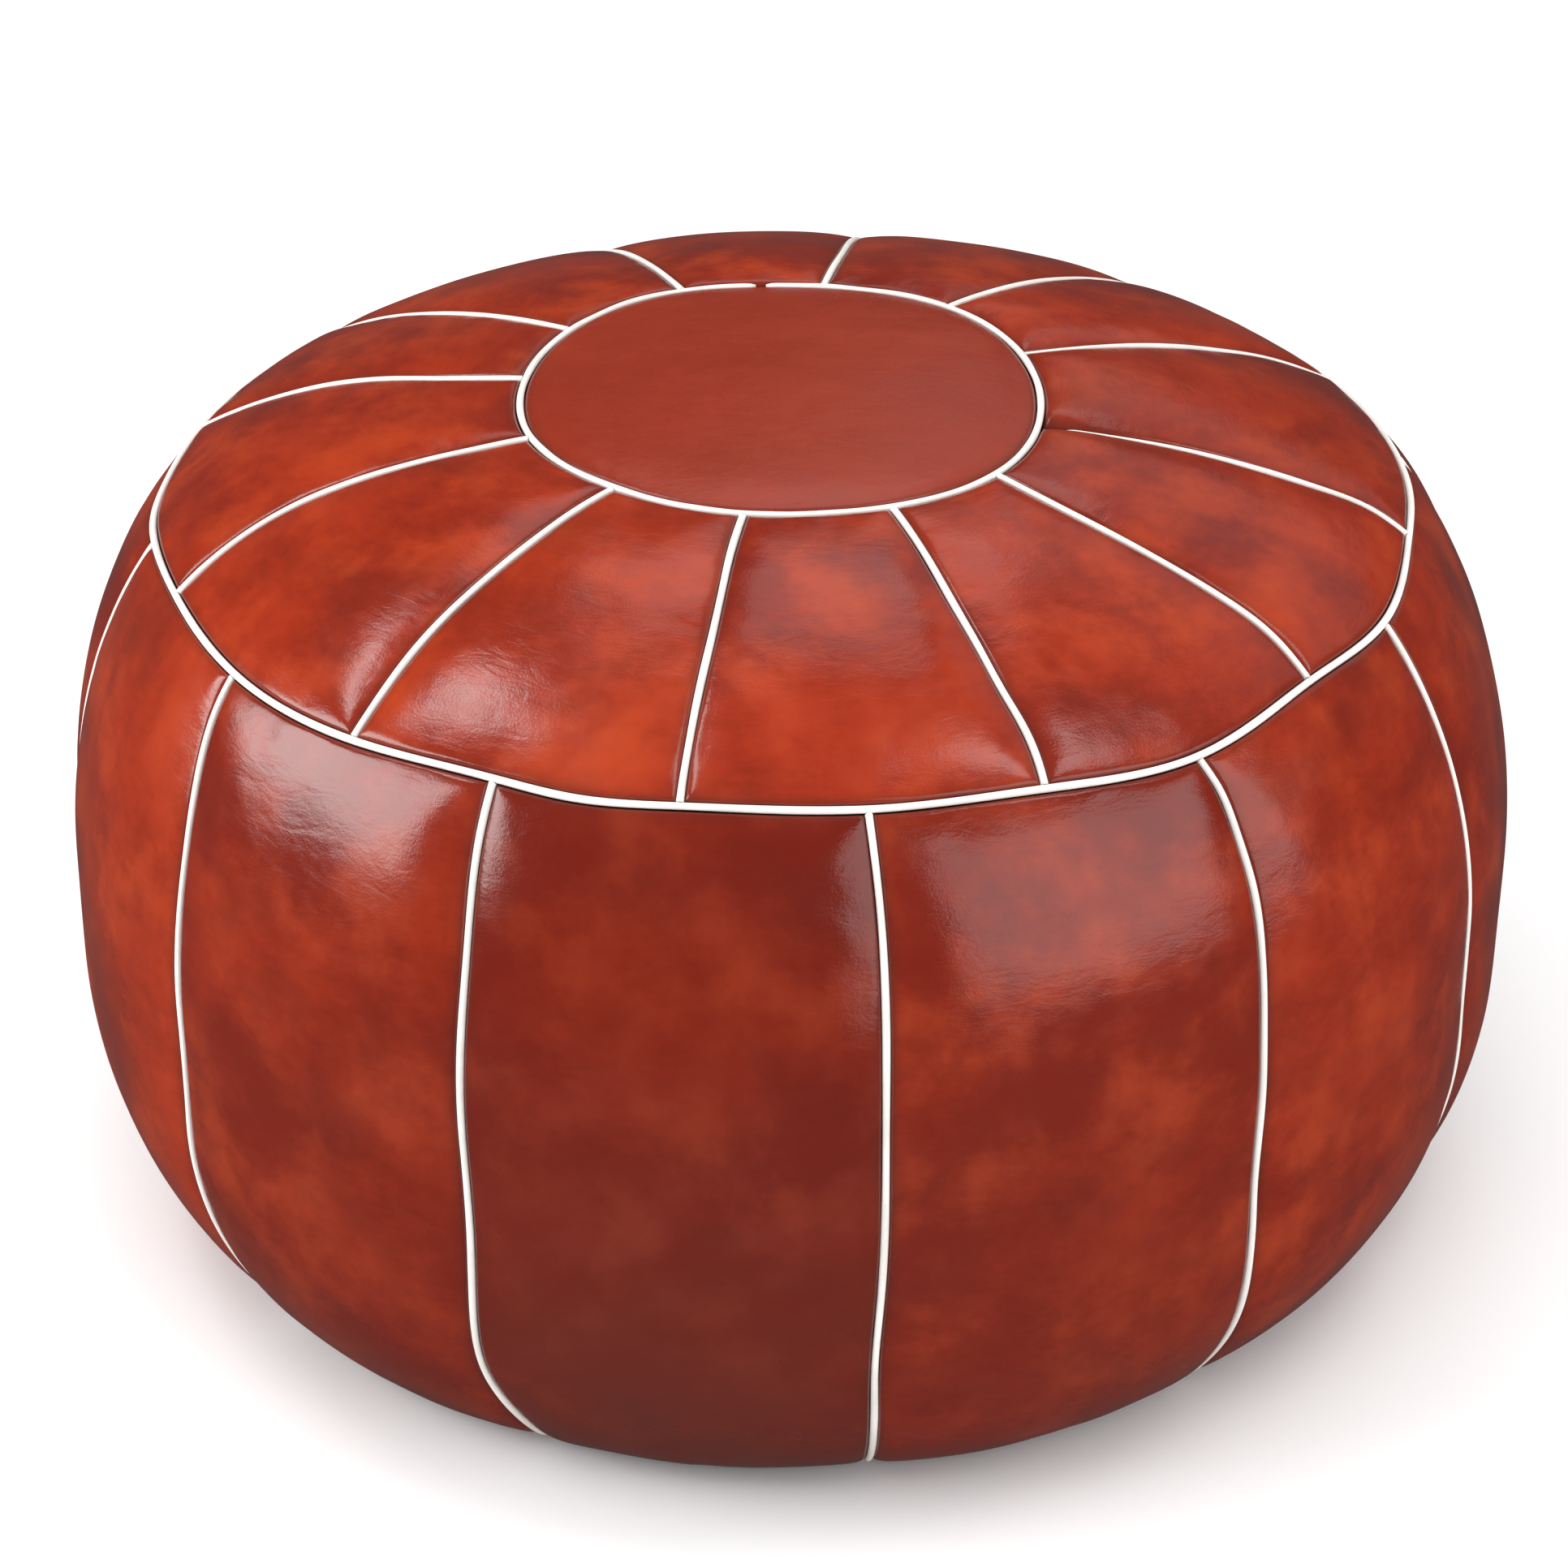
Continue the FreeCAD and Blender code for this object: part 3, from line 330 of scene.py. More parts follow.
def panel_grid(base, lo, hi, length, ends, cols, step, sunk, size_lo, size_hi, deep_lo, deep_hi,
               bulge, seed):
    """Points of one panel between the seams lo and hi."""
    s, hs = rows(length, ends[0], ends[1], step)
    nv, ne = len(s), len(EDGE)
    nu = 2 * ne + cols
    co = np.zeros((nv, nu, 3))
    hide = np.zeros((nv, nu, 3))
    edge = np.zeros((nv, nu))
    pin = np.zeros((nv, nu), bool)
    r_at = (top_line(s) if base is top_base else side_line(s))[0]
    for j in range(nv):
        r = r_at[j]
        pl, ph = float(lo(s[j])), float(hi(s[j]))
        width = (ph - pl) * r
        gl = float(size_lo(s[j])) + 0.25 * MM - EDGE[3, 0]
        gh = float(size_hi(s[j])) + 0.25 * MM - EDGE[3, 0]
        keep = np.array([1, 1, 1, 1, .8, .5, .2])
        dl = np.maximum(EDGE[:, 0] + gl * keep, 0.72 * MM)
        dh = np.maximum(EDGE[:, 0] + gh * keep, 0.72 * MM)
        d = np.concatenate([dl, np.linspace(dl[-1], width - dh[-1], cols + 2)[1:-1], (width - dh)[::-1]])
        hl = np.concatenate([EDGE[:, 1], np.full(cols, np.inf), EDGE[::-1, 1]])
        u = d / width
        far = np.minimum(d, width - d)
        h = np.minimum(hl, hs[j])
        h = np.minimum(h, EDGE[-1, 1])
        along = min(s[j], length - s[j])
        rise = bulge * (1 - np.abs(2 * u - 1) ** 2.6) * (1 - abs(2 * s[j] / length - 1) ** 5)
        w = smooth((far - 2 * MM) / (12 * MM)) * smooth((along - 2 * MM) / (12 * MM))
        ext = np.interp(u, [0, 1], [float(deep_lo(s[j])), float(deep_hi(s[j]))])
        dip = ext * (1 - smooth(far / (9 * MM)))
        phi = pl + u * (ph - pl)
        # stuffing is never quite even, and a sewn edge puckers a little
        x3, y3 = d - width / 2, s[j]
        lump = np.array([noise.noise(Vector((x * 17, y3 * 13, seed * 2.7))) + 0.5 * noise.noise(
            Vector((x * 41, y3 * 33, seed * 5.1))) for x in x3]) * 1.0 * MM * w
        near_s = np.exp(-np.abs(far - 7 * MM) / (6 * MM)) * (far > 3 * MM) * (along > 3 * MM)
        near_r = np.exp(-abs(along - 7 * MM) / (6 * MM)) * (far > 3 * MM) * (along > 3 * MM)
        tuck = np.array([noise.noise(Vector((y3 * 62, seed * 1.9 + (3 if x > 0 else 0), 1.5))) for x in x3]) * near_s
        tuck += np.array([noise.noise(Vector((x * 70, seed * 3.1 + (0 if y3 < length / 2 else 6), 8.5)))
                          for x in x3]) * near_r * 1.4
        off = h + rise * w - sunk(s[j]) - dip + lump + tuck * 0.45 * MM
        co[j] = base(s[j], phi, off)
        hide[j] = np.stack([d - width / 2, np.full(nu, s[j]), np.full(nu, seed * 1.37)], -1)
        edge[j] = np.minimum(far, along)
        pin[j] = (far < 3.0 * MM) | (along < 3.0 * MM)
    return co.reshape(-1, 3), hide.reshape(-1, 3), edge.reshape(-1), pin.reshape(-1), nu, nv


PANELS = []      # name, points, faces, hide, edge, pin, tone


def even(s):
    return np.full_like(np.asarray(s, float), PIPE)


def nil(s):
    return np.zeros_like(np.asarray(s, float))


# how deep each hide took the dye: 1 is the darkest, -1 the most orange
DEEP_SIDE = {10: 1.0, 9: 0.50, 11: 0.34, 12: 0.20, 8: -0.35, 7: 0.1, 1: 0.2, 2: 0.5, 3: -0.2, 4: 0.6, 5: 0.1, 6: -0.1}
DEEP_TOP = {1: 0.3, 2: -0.1, 3: 0.25, 4: -0.2, 5: 0.1, 6: -0.25, 7: 0.15, 8: -0.1, 9: -0.3, 10: 0.0, 11: -0.1, 12: 0.15}


def tones(k, of):
    return (DEEP_TOP if of == "top" else DEEP_SIDE)[k + 1]


for k in range(12):
    lo, hi = SPOKE[k], SPOKE[(k + 1) % 12]
    if k == 11:
        hi = (lambda f: lambda s: f(s) + 2 * math.pi)(SPOKE[0])
    k2 = (k + 1) % 12
    co, hide, edge, pin, nu, nv = panel_grid(
        top_base, lo, hi, L1, (EDGE, EDGE), 18, 5.0 * MM, lambda s: SUNK,
        lambda s, k=k: spoke_size(k, s), lambda s, k=k2: spoke_size(k, s),
        lambda s, k=k: spoke_deep(k, s), lambda s, k=k2: spoke_deep(k, s), 0.7 * MM, k + 1)
    PANELS.append(["top_panel_%02d" % (k + 1), co, grid_faces(nu, nv, flip=True), hide, edge, pin,
                   tones(k, "top")])
for k in range(12):
    lo, hi = SIDE[(k - 1) % 12], SIDE[k]
    if k == 0:
        lo = (lambda f: lambda s: f(s) - 2 * math.pi)(SIDE[11])
    co, hide, edge, pin, nu, nv = panel_grid(
        side_base, lo, hi, L2, (EDGE, FLOOR_EDGE), 22, 5.6 * MM, lambda s: float(side_sunk(s)),
        even, even, nil, nil, 1.1 * MM, k + 21)
    co[:, 2] = np.maximum(co[:, 2], 0.0)
    PANELS.append(["side_panel_%02d" % (k + 1), co, grid_faces(nu, nv, flip=True), hide, edge, pin,
                   tones(k, "side")])


# the bottom rows of the side panels stop at the base seam, and are turned up
# there, so their heights there come from the floor up
def medallion():
    """Round centre panel: a square grid bent into a disc, with edge loops."""
    n = 33
    g = np.linspace(-1, 1, n)
    x, y = np.meshgrid(g, g)
    r = np.maximum(np.abs(x), np.abs(y))
    ang = np.arctan2(y, x)
    # soften the corners of the square as it becomes round
    sx = x * np.sqrt(1 - y * y / 2)
    sy = y * np.sqrt(1 - x * x / 2)
    ring = []
    for i in range(n - 1):
        ring.append((0, i))
    for i in range(n - 1):
        ring.append((i, n - 1))
    for i in range(n - 1):
        ring.append((n - 1, n - 1 - i))
    for i in range(n - 1):
        ring.append((n - 1 - i, 0))
    idx = [j * n + i for j, i in ring]
    rad = np.hypot(sx, sy).reshape(-1)
    phi = np.arctan2(sy, sx).reshape(-1)
    inner = RA - 9 * MM
    rise = TOP - ZA - 0.2 * MM

    def height(t):
        return ZA + rise * (1 - t * t)

    def place(radius, ph, h):
        """h over the piping's middle; full dome height away from the edge"""
        dr = shift_a(ph) * smooth(radius / RA)
        t = np.clip(radius / RA, 0, 1)
        z = np.where(np.isinf(h), height(t), ZA - SUNK + h)
        return polar(radius + dr, z, ph)
    co = [place(rad * inner, phi, np.full(rad.shape, np.inf))]
    edge_d = [RA - rad * inner]
    pin = [np.zeros(rad.shape, bool)]
    faces = grid_faces(n, n)
    prev = idx
    count = n * n
    loops = EDGE[::-1]
    ph = phi[idx]
    for d, h in loops:
        rr = np.full(len(idx), RA - d)
        c = place(rr, ph, np.full(len(idx), h))
        if h > 1.4 * MM:
            c[:, 2] = height((RA - d) / RA)
            c[:, 2] = np.minimum(c[:, 2], ZA - SUNK + h + 0.3 * MM)
        co.append(c)
        edge_d.append(np.full(len(idx), d))
        pin.append(np.full(len(idx), d < 3 * MM))
        cur = list(range(count, count + len(idx)))
        m = len(idx)
        for a in range(m):
            b = (a + 1) % m
            faces.append((prev[a], cur[a], cur[b], prev[b]))
        prev = cur
        count += m
    co = np.concatenate(co)
    edge_d = np.concatenate(edge_d)
    pin = np.concatenate(pin)
    hide = co.copy()
    hide[:, 2] = 55.5
    return ["top_medallion", co, faces, hide, edge_d, pin, -0.15]


PANELS.append(medallion())


# ------------------------------------------------------- cloth simulation
def all_in_one():
    co, faces, pins, starts = [], [], [], []
    base = 0
    for p in PANELS:
        starts.append(base)
        co.append(p[1])
        faces += [tuple(base + i for i in f) for f in p[2]]
        pins.append(p[5])
        base += len(p[1])
    return np.concatenate(co), faces, np.concatenate(pins), starts


def simulate():
    """Blow every panel up a little against its seams, which stay put.

    The turned-in rows are left out, and the leather is simulated ten times
    larger, where the solver is steady; the moves are scaled back after."""
    co, faces, pins, starts = all_in_one()
    edge = np.concatenate([p[4] for p in PANELS])
    grow = 10.0
    keep = edge > 2.4 * MM
    idx = -np.ones(len(co), int)
    idx[keep] = np.arange(keep.sum())
    sub_faces = [tuple(int(idx[i]) for i in f) for f in faces if all(keep[i] for i in f)]
    start = co[keep] * grow
    held = edge[keep] < 3.6 * MM
    ob = mesh_object("all_panels", start, sub_faces)
    group = ob.vertex_groups.new(name="pin")
    group.add([int(i) for i in np.nonzero(held)[0]], 1.0, "REPLACE")
    mod = ob.modifiers.new("Cloth", "CLOTH")
    st = mod.settings
    st.quality = 5
    st.mass = 0.3
    st.tension_stiffness = st.compression_stiffness = 30
    st.shear_stiffness = 10
    st.bending_stiffness = 2.0
    st.vertex_group_mass = "pin"
    st.use_pressure = True
    st.uniform_pressure_force = 4.0
    st.shrink_min = -0.008
    st.effector_weights.gravity = 0.0
    mod.collision_settings.use_collision = False
    mod.collision_settings.use_self_collision = False
    mod.point_cache.frame_start = 1
    mod.point_cache.frame_end = 20
    scene.frame_start, scene.frame_end = 1, 20
    for f in range(1, 21):
        scene.frame_set(f)
    deps = bpy.context.evaluated_depsgraph_get()
    ev = ob.evaluated_get(deps)
    me = ev.to_mesh()
    new = np.zeros(len(start) * 3, np.float32)
    me.vertices.foreach_get("co", new)
    ev.to_mesh_clear()
    scene.frame_set(1)
    old = ob.data
    bpy.data.objects.remove(ob)
    bpy.data.meshes.remove(old)
    move = (new.reshape(-1, 3).astype(float) - start) / grow
    ln = np.linalg.norm(move, axis=1)
    # the full swell is more than the taut cover shows; its wrinkles are kept
    pairs = set()
    for f in sub_faces:
        for i in range(len(f)):
            u, v = f[i], f[(i + 1) % len(f)]
            pairs.add((min(u, v), max(u, v)))
    pairs = np.array(sorted(pairs))
    count = np.bincount(pairs.reshape(-1), minlength=len(start)).astype(float)
    low = move.copy()
    for _ in range(14):
        acc = np.zeros_like(low)
        np.add.at(acc, pairs[:, 0], low[pairs[:, 1]])
        np.add.at(acc, pairs[:, 1], low[pairs[:, 0]])
        low = 0.5 * low + 0.5 * acc / np.maximum(count, 1)[:, None]
        low[held] = 0
    fine = move - low
    fl = np.linalg.norm(fine, axis=1)
    fine *= (np.tanh(fl / (0.9 * MM)) * 0.9 * MM / np.maximum(fl, 1e-9))[:, None]
    ll = np.linalg.norm(low, axis=1)
    low *= (np.tanh(ll / (3.0 * MM)) * 3.0 * MM / np.maximum(ll, 1e-9))[:, None]
    total = low * SWELL + fine * WRINKLE
    total[held] = 0
    print("cloth: moved %.2f mm at most, %.2f mm on average; kept %.2f and %.2f" % (
        ln.max() / MM, ln[~held].mean() / MM, np.linalg.norm(total, axis=1).max() / MM,
        np.linalg.norm(total, axis=1)[~held].mean() / MM))
    full = np.zeros_like(co)
    full[keep] = total
    for i, p in enumerate(PANELS):
        p[1] = p[1] + full[starts[i]:starts[i] + len(p[1])]
        p[1][:, 2] = np.maximum(p[1][:, 2], 0.0)


SWELL, WRINKLE = 0.45, 0.9

simulate()


# ------------------------------------------------------- procedural looks
def material(name):
    m = bpy.data.materials.new(name)
    m.use_nodes = True
    nt = m.node_tree
    for n in list(nt.nodes):
        nt.nodes.remove(n)
    out = nt.nodes.new("ShaderNodeOutputMaterial")
    bs = nt.nodes.new("ShaderNodeBsdfPrincipled")
    nt.links.new(bs.outputs[0], out.inputs[0])
    return m, nt, bs


class Net:
    """Short names for the nodes of one material."""

    def __init__(self, nt):
        self.nt = nt

    def new(self, kind, **props):
        n = self.nt.nodes.new(kind)
        for k, v in props.items():
            setattr(n, k, v)
        return n

    def link(self, a, b):
        self.nt.links.new(a, b)

    def value(self, sock, v):
        if hasattr(v, "is_output") or isinstance(v, bpy.types.NodeSocket):
            self.link(v, sock)
        else:
            sock.default_value = v

    def math(self, op, a, b=None, clamp=False):
        n = self.new("ShaderNodeMath", operation=op, use_clamp=clamp)
        self.value(n.inputs[0], a)
        if b is not None:
            self.value(n.inputs[1], b)
        return n.outputs[0]

    def noise(self, vec, scale, detail=4.0, rough=0.55, warp=0.0):
        n = self.new("ShaderNodeTexNoise")
        self.link(vec, n.inputs["Vector"])
        n.inputs["Scale"].default_value = scale
        n.inputs["Detail"].default_value = detail
        n.inputs["Roughness"].default_value = rough
        n.inputs["Distortion"].default_value = warp
        return n.outputs[0]

    def range(self, v, a, b, c, d):
        n = self.new("ShaderNodeMapRange")
        n.interpolation_type = "SMOOTHSTEP"
        self.link(v, n.inputs[0])
        for i, x in enumerate((a, b, c, d)):
            n.inputs[1 + i].default_value = x
        return n.outputs[0]

    def mix(self, fac, a, b, mode="MIX"):
        n = self.new("ShaderNodeMix", data_type="RGBA", blend_type=mode)
        self.value(n.inputs[0], fac)
        for sock, v in ((n.inputs[6], a), (n.inputs[7], b)):
            if isinstance(v, tuple):
                sock.default_value = (v[0], v[1], v[2], 1)
            else:
                self.link(v, sock)
        return n.outputs[2]

    def scale(self, vec, v):
        n = self.new("ShaderNodeMapping")
        self.link(vec, n.inputs[0])
        n.inputs["Scale"].default_value = v
        return n.outputs[0]

    def attr(self, name, vector=False):
        n = self.new("ShaderNodeAttribute", attribute_name=name)
        return n.outputs["Vector"] if vector else n.outputs["Fac"]

    def bump(self, height, strength, dist, normal=None):
        n = self.new("ShaderNodeBump")
        n.inputs["Strength"].default_value = strength
        n.inputs["Distance"].default_value = dist
        self.link(height, n.inputs["Height"])
        if normal is not None:
            self.link(normal, n.inputs["Normal"])
        return n.outputs[0]


def leather(name="leather_rust"):
    m, nt, bs = material(name)
    n = Net(nt)
    hide = n.attr("hide", True)
    edge = n.attr("edge")
    tone = n.attr("tone")
    low = n.attr("low")
    calm = n.attr("calm")
    wide = n.scale(hide, (0.85, 1.0, 1.0))
    cloud = n.noise(wide, 15.0, 3.0, 0.5)
    blot = n.noise(n.scale(hide, (1.0, 0.85, 1.0)), 31.0, 4.0, 0.55)
    gloom = n.noise(n.scale(hide, (0.8, 1.0, 1.3)), 24.0, 4.0, 0.58)
    fleck = n.noise(n.scale(hide, (0.9, 1.1, 1.0)), 115.0, 4.0, 0.62)
    mist = n.noise(n.scale(hide, (0.55, 1.5, 1.0)), 240.0, 3.0, 0.6)
    mixed = n.math("ADD", n.math("MULTIPLY", cloud, 0.48), n.math("MULTIPLY", blot, 0.29))
    mixed = n.math("ADD", mixed, n.math("MULTIPLY", fleck, 0.15))
    mixed = n.math("ADD", mixed, n.math("MULTIPLY", mist, 0.08))
    mixed = n.math("SUBTRACT", mixed, n.math("MULTIPLY", tone, 0.030))
    spread = n.math("MULTIPLY", n.math("SUBTRACT", mixed, 0.5), n.range(calm, 0.0, 1.0, 1.0, 0.25))
    mixed = n.math("ADD", spread, 0.5)
    red = (0.170, 0.0125, 0.0048)
    rust = (0.288, 0.0240, 0.0062)
    orange = (0.420, 0.0500, 0.0095)
    dark = (0.100, 0.0120, 0.0070)
    lively = n.range(calm, 0.0, 1.0, 1.0, 0.15)
    c = n.mix(n.range(mixed, 0.38, 0.60, 0, 1), red, rust)
    c = n.mix(n.math("MULTIPLY", n.range(blot, 0.46, 0.74, 0, 0.46), lively), c, orange)
    c = n.mix(n.math("MULTIPLY", n.range(gloom, 0.47, 0.74, 0, 0.42), lively), c, dark)
    c = n.mix(n.math("MULTIPLY", calm, 0.45), c, (0.222, 0.0260, 0.0105))
    # one hide is a little darker than the next
    c = n.mix(n.range(tone, 0.0, 1.0, 0.0, 0.50), c, (0.098, 0.0072, 0.0034))
    c = n.mix(n.range(tone, 0.0, -1.0, 0.0, 0.34), c, orange)
    # painted shade: side panels are darker low down towards the floor, most on the front ones, broken up by the cloud
    # noise
    low_shade_mask = n.math("MULTIPLY", low, n.range(cloud, 0.30, 0.66, 0.55, 1.0))
    c = n.mix(low_shade_mask, c, (0.098, 0.0175, 0.0110))
    # painted shade beside the seams, where the leather is turned in and dips under the piping
    c = n.mix(n.range(edge, 0.0, 0.0065, 0.55, 0.0), c, (0.085, 0.016, 0.010))
    n.link(c, bs.inputs["Base Color"])
    grain = n.new("ShaderNodeTexVoronoi", feature="DISTANCE_TO_EDGE")
    n.link(hide, grain.inputs["Vector"])
    grain.inputs["Scale"].default_value = 620.0
    pores = n.range(grain.outputs[0], 0.0, 0.22, 0.0, 1.0)
    fine = n.noise(hide, 900.0, 3.0, 0.6)
    creases = n.noise(n.scale(hide, (1.0, 2.4, 1.0)), 60.0, 5.0, 0.6, 1.2)
    wr = n.noise(wide, 18.0, 2.0, 0.5)
    b = n.bump(pores, 0.05, 0.00025)
    b = n.bump(fine, 0.06, 0.0002, b)
    b = n.bump(creases, 0.13, 0.0012, b)
    b = n.bump(n.noise(wide, 46.0, 3.0, 0.5), 0.16, 0.0022, b)
    b = n.bump(wr, 0.26, 0.004, b)
    n.link(b, bs.inputs["Normal"])
    rough = n.math("ADD", n.range(blot, 0.3, 0.7, 0.155, 0.22), n.range(fleck, 0.4, 0.7, 0.0, 0.04))
    rough = n.math("ADD", rough, n.math("MULTIPLY", calm, 0.10))
    n.link(rough, bs.inputs["Roughness"])
    bs.inputs["Specular IOR Level"].default_value = 0.5
    return m


def object_coords(n):
    return n.new("ShaderNodeTexCoord").outputs["Object"]


def piping_look():
    m, nt, bs = material("piping_cream")
    n = Net(nt)
    o = object_coords(n)
    c = n.mix(n.range(n.noise(o, 40.0, 4.0), 0.35, 0.7, 0.0, 1.0), (0.83, 0.805, 0.765), (0.74, 0.71, 0.66))
    c = n.mix(n.range(n.noise(o, 260.0, 3.0), 0.60, 0.78, 0.0, 0.35), c, (0.66, 0.60, 0.53))
    sep = n.new("ShaderNodeSeparateXYZ")
    n.link(o, sep.inputs[0])
    # painted shade: the piping is darker in its lowest 5 cm, towards the floor
    c = n.mix(n.range(sep.outputs[2], 0.05, 0.0, 0.0, 0.45), c, (0.62, 0.54, 0.48))
    n.link(c, bs.inputs["Base Color"])
    b = n.bump(n.noise(o, 1500.0, 3.0), 0.08, 0.0002)
    b = n.bump(n.noise(o, 160.0, 2.0), 0.12, 0.0006, b)
    n.link(b, bs.inputs["Normal"])
    n.link(n.range(n.noise(o, 90.0), 0.3, 0.7, 0.40, 0.55), bs.inputs["Roughness"])
    bs.inputs["Specular IOR Level"].default_value = 0.4
    return m


def weave_look(name, a, b_col, pitch, rough, depth=0.0003):
    """Plain weave: two sets of threads over and under each other."""
    m, nt, bs = material(name)
    n = Net(nt)
    o = object_coords(n)
    w1 = n.new("ShaderNodeTexWave", wave_type="BANDS", bands_direction="X", wave_profile="SIN")
    w2 = n.new("ShaderNodeTexWave", wave_type="BANDS", bands_direction="Y", wave_profile="SIN")
    for w in (w1, w2):
        n.link(o, w.inputs["Vector"])
        w.inputs["Scale"].default_value = pitch
        w.inputs["Distortion"].default_value = 0.25
        w.inputs["Detail"].default_value = 1.0
        w.inputs["Detail Scale"].default_value = 1.5
    web = n.math("MAXIMUM", w1.outputs["Fac"], w2.outputs["Fac"])
    fuzz = n.noise(o, pitch * 3.0, 3.0)
    c = n.mix(n.range(web, 0.2, 0.95, 0.0, 1.0), b_col, a)
    c = n.mix(n.math("MULTIPLY", fuzz, 0.35), c, b_col)
    n.link(c, bs.inputs["Base Color"])
    n.link(n.bump(fuzz, 0.2, depth, n.bump(web, 0.7, depth)), bs.inputs["Normal"])
    n.link(n.range(fuzz, 0.3, 0.7, rough - 0.06, rough + 0.06), bs.inputs["Roughness"])
    bs.inputs["Specular IOR Level"].default_value = 0.25
    return m


def metal_look():
    m, nt, bs = material("zip_brass")
    n = Net(nt)
    o = object_coords(n)
    worn = n.noise(o, 350.0, 4.0)
    c = n.mix(n.range(worn, 0.4, 0.68, 0.0, 1.0), (0.62, 0.47, 0.24), (0.34, 0.24, 0.12))
    n.link(c, bs.inputs["Base Color"])
    bs.inputs["Metallic"].default_value = 1.0
    n.link(n.range(worn, 0.35, 0.7, 0.24, 0.46), bs.inputs["Roughness"])
    n.link(n.bump(n.noise(n.scale(o, (1, 6, 6)), 900.0, 2.0), 0.15, 0.0001), bs.inputs["Normal"])
    return m


def teeth_look():
    m, nt, bs = material("zip_teeth_plastic")
    n = Net(nt)
    o = object_coords(n)
    v = n.noise(o, 500.0, 3.0)
    c = n.mix(v, (0.060, 0.022, 0.014), (0.115, 0.042, 0.026))
    n.link(c, bs.inputs["Base Color"])
    n.link(n.range(v, 0.3, 0.7, 0.32, 0.46), bs.inputs["Roughness"])
    n.link(n.bump(n.noise(o, 2200.0), 0.10, 0.00008), bs.inputs["Normal"])
    return m


def fluff_look(name, a, b_col, scale):
    m, nt, bs = material(name)
    n = Net(nt)
    o = object_coords(n)
    v = n.noise(o, scale, 6.0, 0.7, 1.0)
    n.link(n.mix(n.range(v, 0.3, 0.7, 0, 1), b_col, a), bs.inputs["Base Color"])
    n.link(n.bump(v, 0.8, 0.003), bs.inputs["Normal"])
    n.link(n.range(v, 0.3, 0.7, 0.85, 0.98), bs.inputs["Roughness"])
    return m


def thread_look(name, a, b_col, scale):
    """Twisted thread or cord: slanting strands."""
    m, nt, bs = material(name)
    n = Net(nt)
    o = object_coords(n)
    w = n.new("ShaderNodeTexWave", wave_type="BANDS", bands_direction="DIAGONAL")
    n.link(o, w.inputs["Vector"])
    w.inputs["Scale"].default_value = scale
    w.inputs["Distortion"].default_value = 2.0
    fuzz = n.noise(o, scale * 4, 4.0)
    c = n.mix(n.math("MULTIPLY", w.outputs["Fac"], 0.8), b_col, a)
    n.link(n.mix(n.math("MULTIPLY", fuzz, 0.3), c, b_col), bs.inputs["Base Color"])
    n.link(n.bump(w.outputs["Fac"], 0.5, 0.0003), bs.inputs["Normal"])
    n.link(n.range(fuzz, 0.3, 0.7, 0.7, 0.85), bs.inputs["Roughness"])
    return m


LEATHER = leather()
PIPING = piping_look()
TAPE = weave_look("zip_tape_weave", (0.115, 0.045, 0.028), (0.040, 0.016, 0.011), 420.0, 0.8)
LINER = weave_look("liner_cotton", (0.80, 0.76, 0.66), (0.52, 0.48, 0.40), 260.0, 0.88, 0.0004)
METAL = metal_look()
TEETH = teeth_look()
STUFF = fluff_look("wool_stuffing", (0.86, 0.83, 0.76), (0.60, 0.56, 0.49), 60.0)
CORD = thread_look("filler_cotton", (0.86, 0.84, 0.78), (0.58, 0.55, 0.48), 380.0)
THREAD = thread_look("stitch_thread", (0.88, 0.85, 0.79), (0.55, 0.50, 0.44), 900.0)


def dress(ob, mat, body="cover"):
    ob.data.materials.clear()
    ob.data.materials.append(mat)
    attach(ob, body)
    return ob


# ------------------------------------------------------------ leather panels
# how far down each side panel the painted shade reaches: front panels more
PAINTED_LOW_SHADE = {10: 0.95, 11: 0.42, 9: 0.25, 12: 0.22, 8: 0.12, 4: 0.5, 5: 0.3, 2: 0.25, 6: 0.15}
THICK = 1.25 * MM


def build_panel(p):
    name, co, faces, hide, edge, pin, tone = p
    ob = mesh_object(name + "_leather", co, faces)
    low = np.zeros(len(co))
    if name.startswith("side"):
        reach = PAINTED_LOW_SHADE.get(int(name[-2:]), 0.1)
        # painted shade, darker towards the floor, with each panel's own reach
        low = reach * smooth(1 - (co[:, 2] - 0.03) / 0.20) * (0.75 + 0.25 * np.cos(hide[:, 0] / 0.05))
    put_attribute(ob.data, "hide", hide, "FLOAT_VECTOR")
    put_attribute(ob.data, "edge", edge)
    put_attribute(ob.data, "tone", np.full(len(co), tone))
    put_attribute(ob.data, "low", low)
    put_attribute(ob.data, "calm", np.full(len(co), 0.85 if name == "top_medallion" else 0.0))
    sub = ob.modifiers.new("sub", "SUBSURF")
    sub.levels = sub.render_levels = 1
    bake(ob)
    sol = ob.modifiers.new("thick", "SOLIDIFY")
    sol.thickness = THICK
    sol.offset = -1.0
    sol.use_rim = True
    bake(ob)
    dress(ob, LEATHER)
    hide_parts(name)
    return ob


for p in PANELS:
    build_panel(p)


# ------------------------------------------------------------------ piping
def section(n_round, rad, tail_half, tail_deep):
    """Keyhole outline: round roll, and the flat sewn edge under it."""
    gap = math.asin(min(tail_half / rad, 0.9))
    pts = []
    for i in range(n_round + 1):
        a = -math.pi / 2 + gap + (2 * math.pi - 2 * gap) * i / n_round
        pts.append((rad * math.cos(a), rad * math.sin(a)))
    pts.append((-tail_half, -tail_deep))
    pts.append((tail_half, -tail_deep))
    return pts


def run_frames(pts, up):
    t = np.gradient(pts, axis=0)
    t /= np.linalg.norm(t, axis=1)[:, None]
    n = up - (up * t).sum(1)[:, None] * t
    n /= np.linalg.norm(n, axis=1)[:, None]
    b = np.cross(t, n)
    return t, n, b


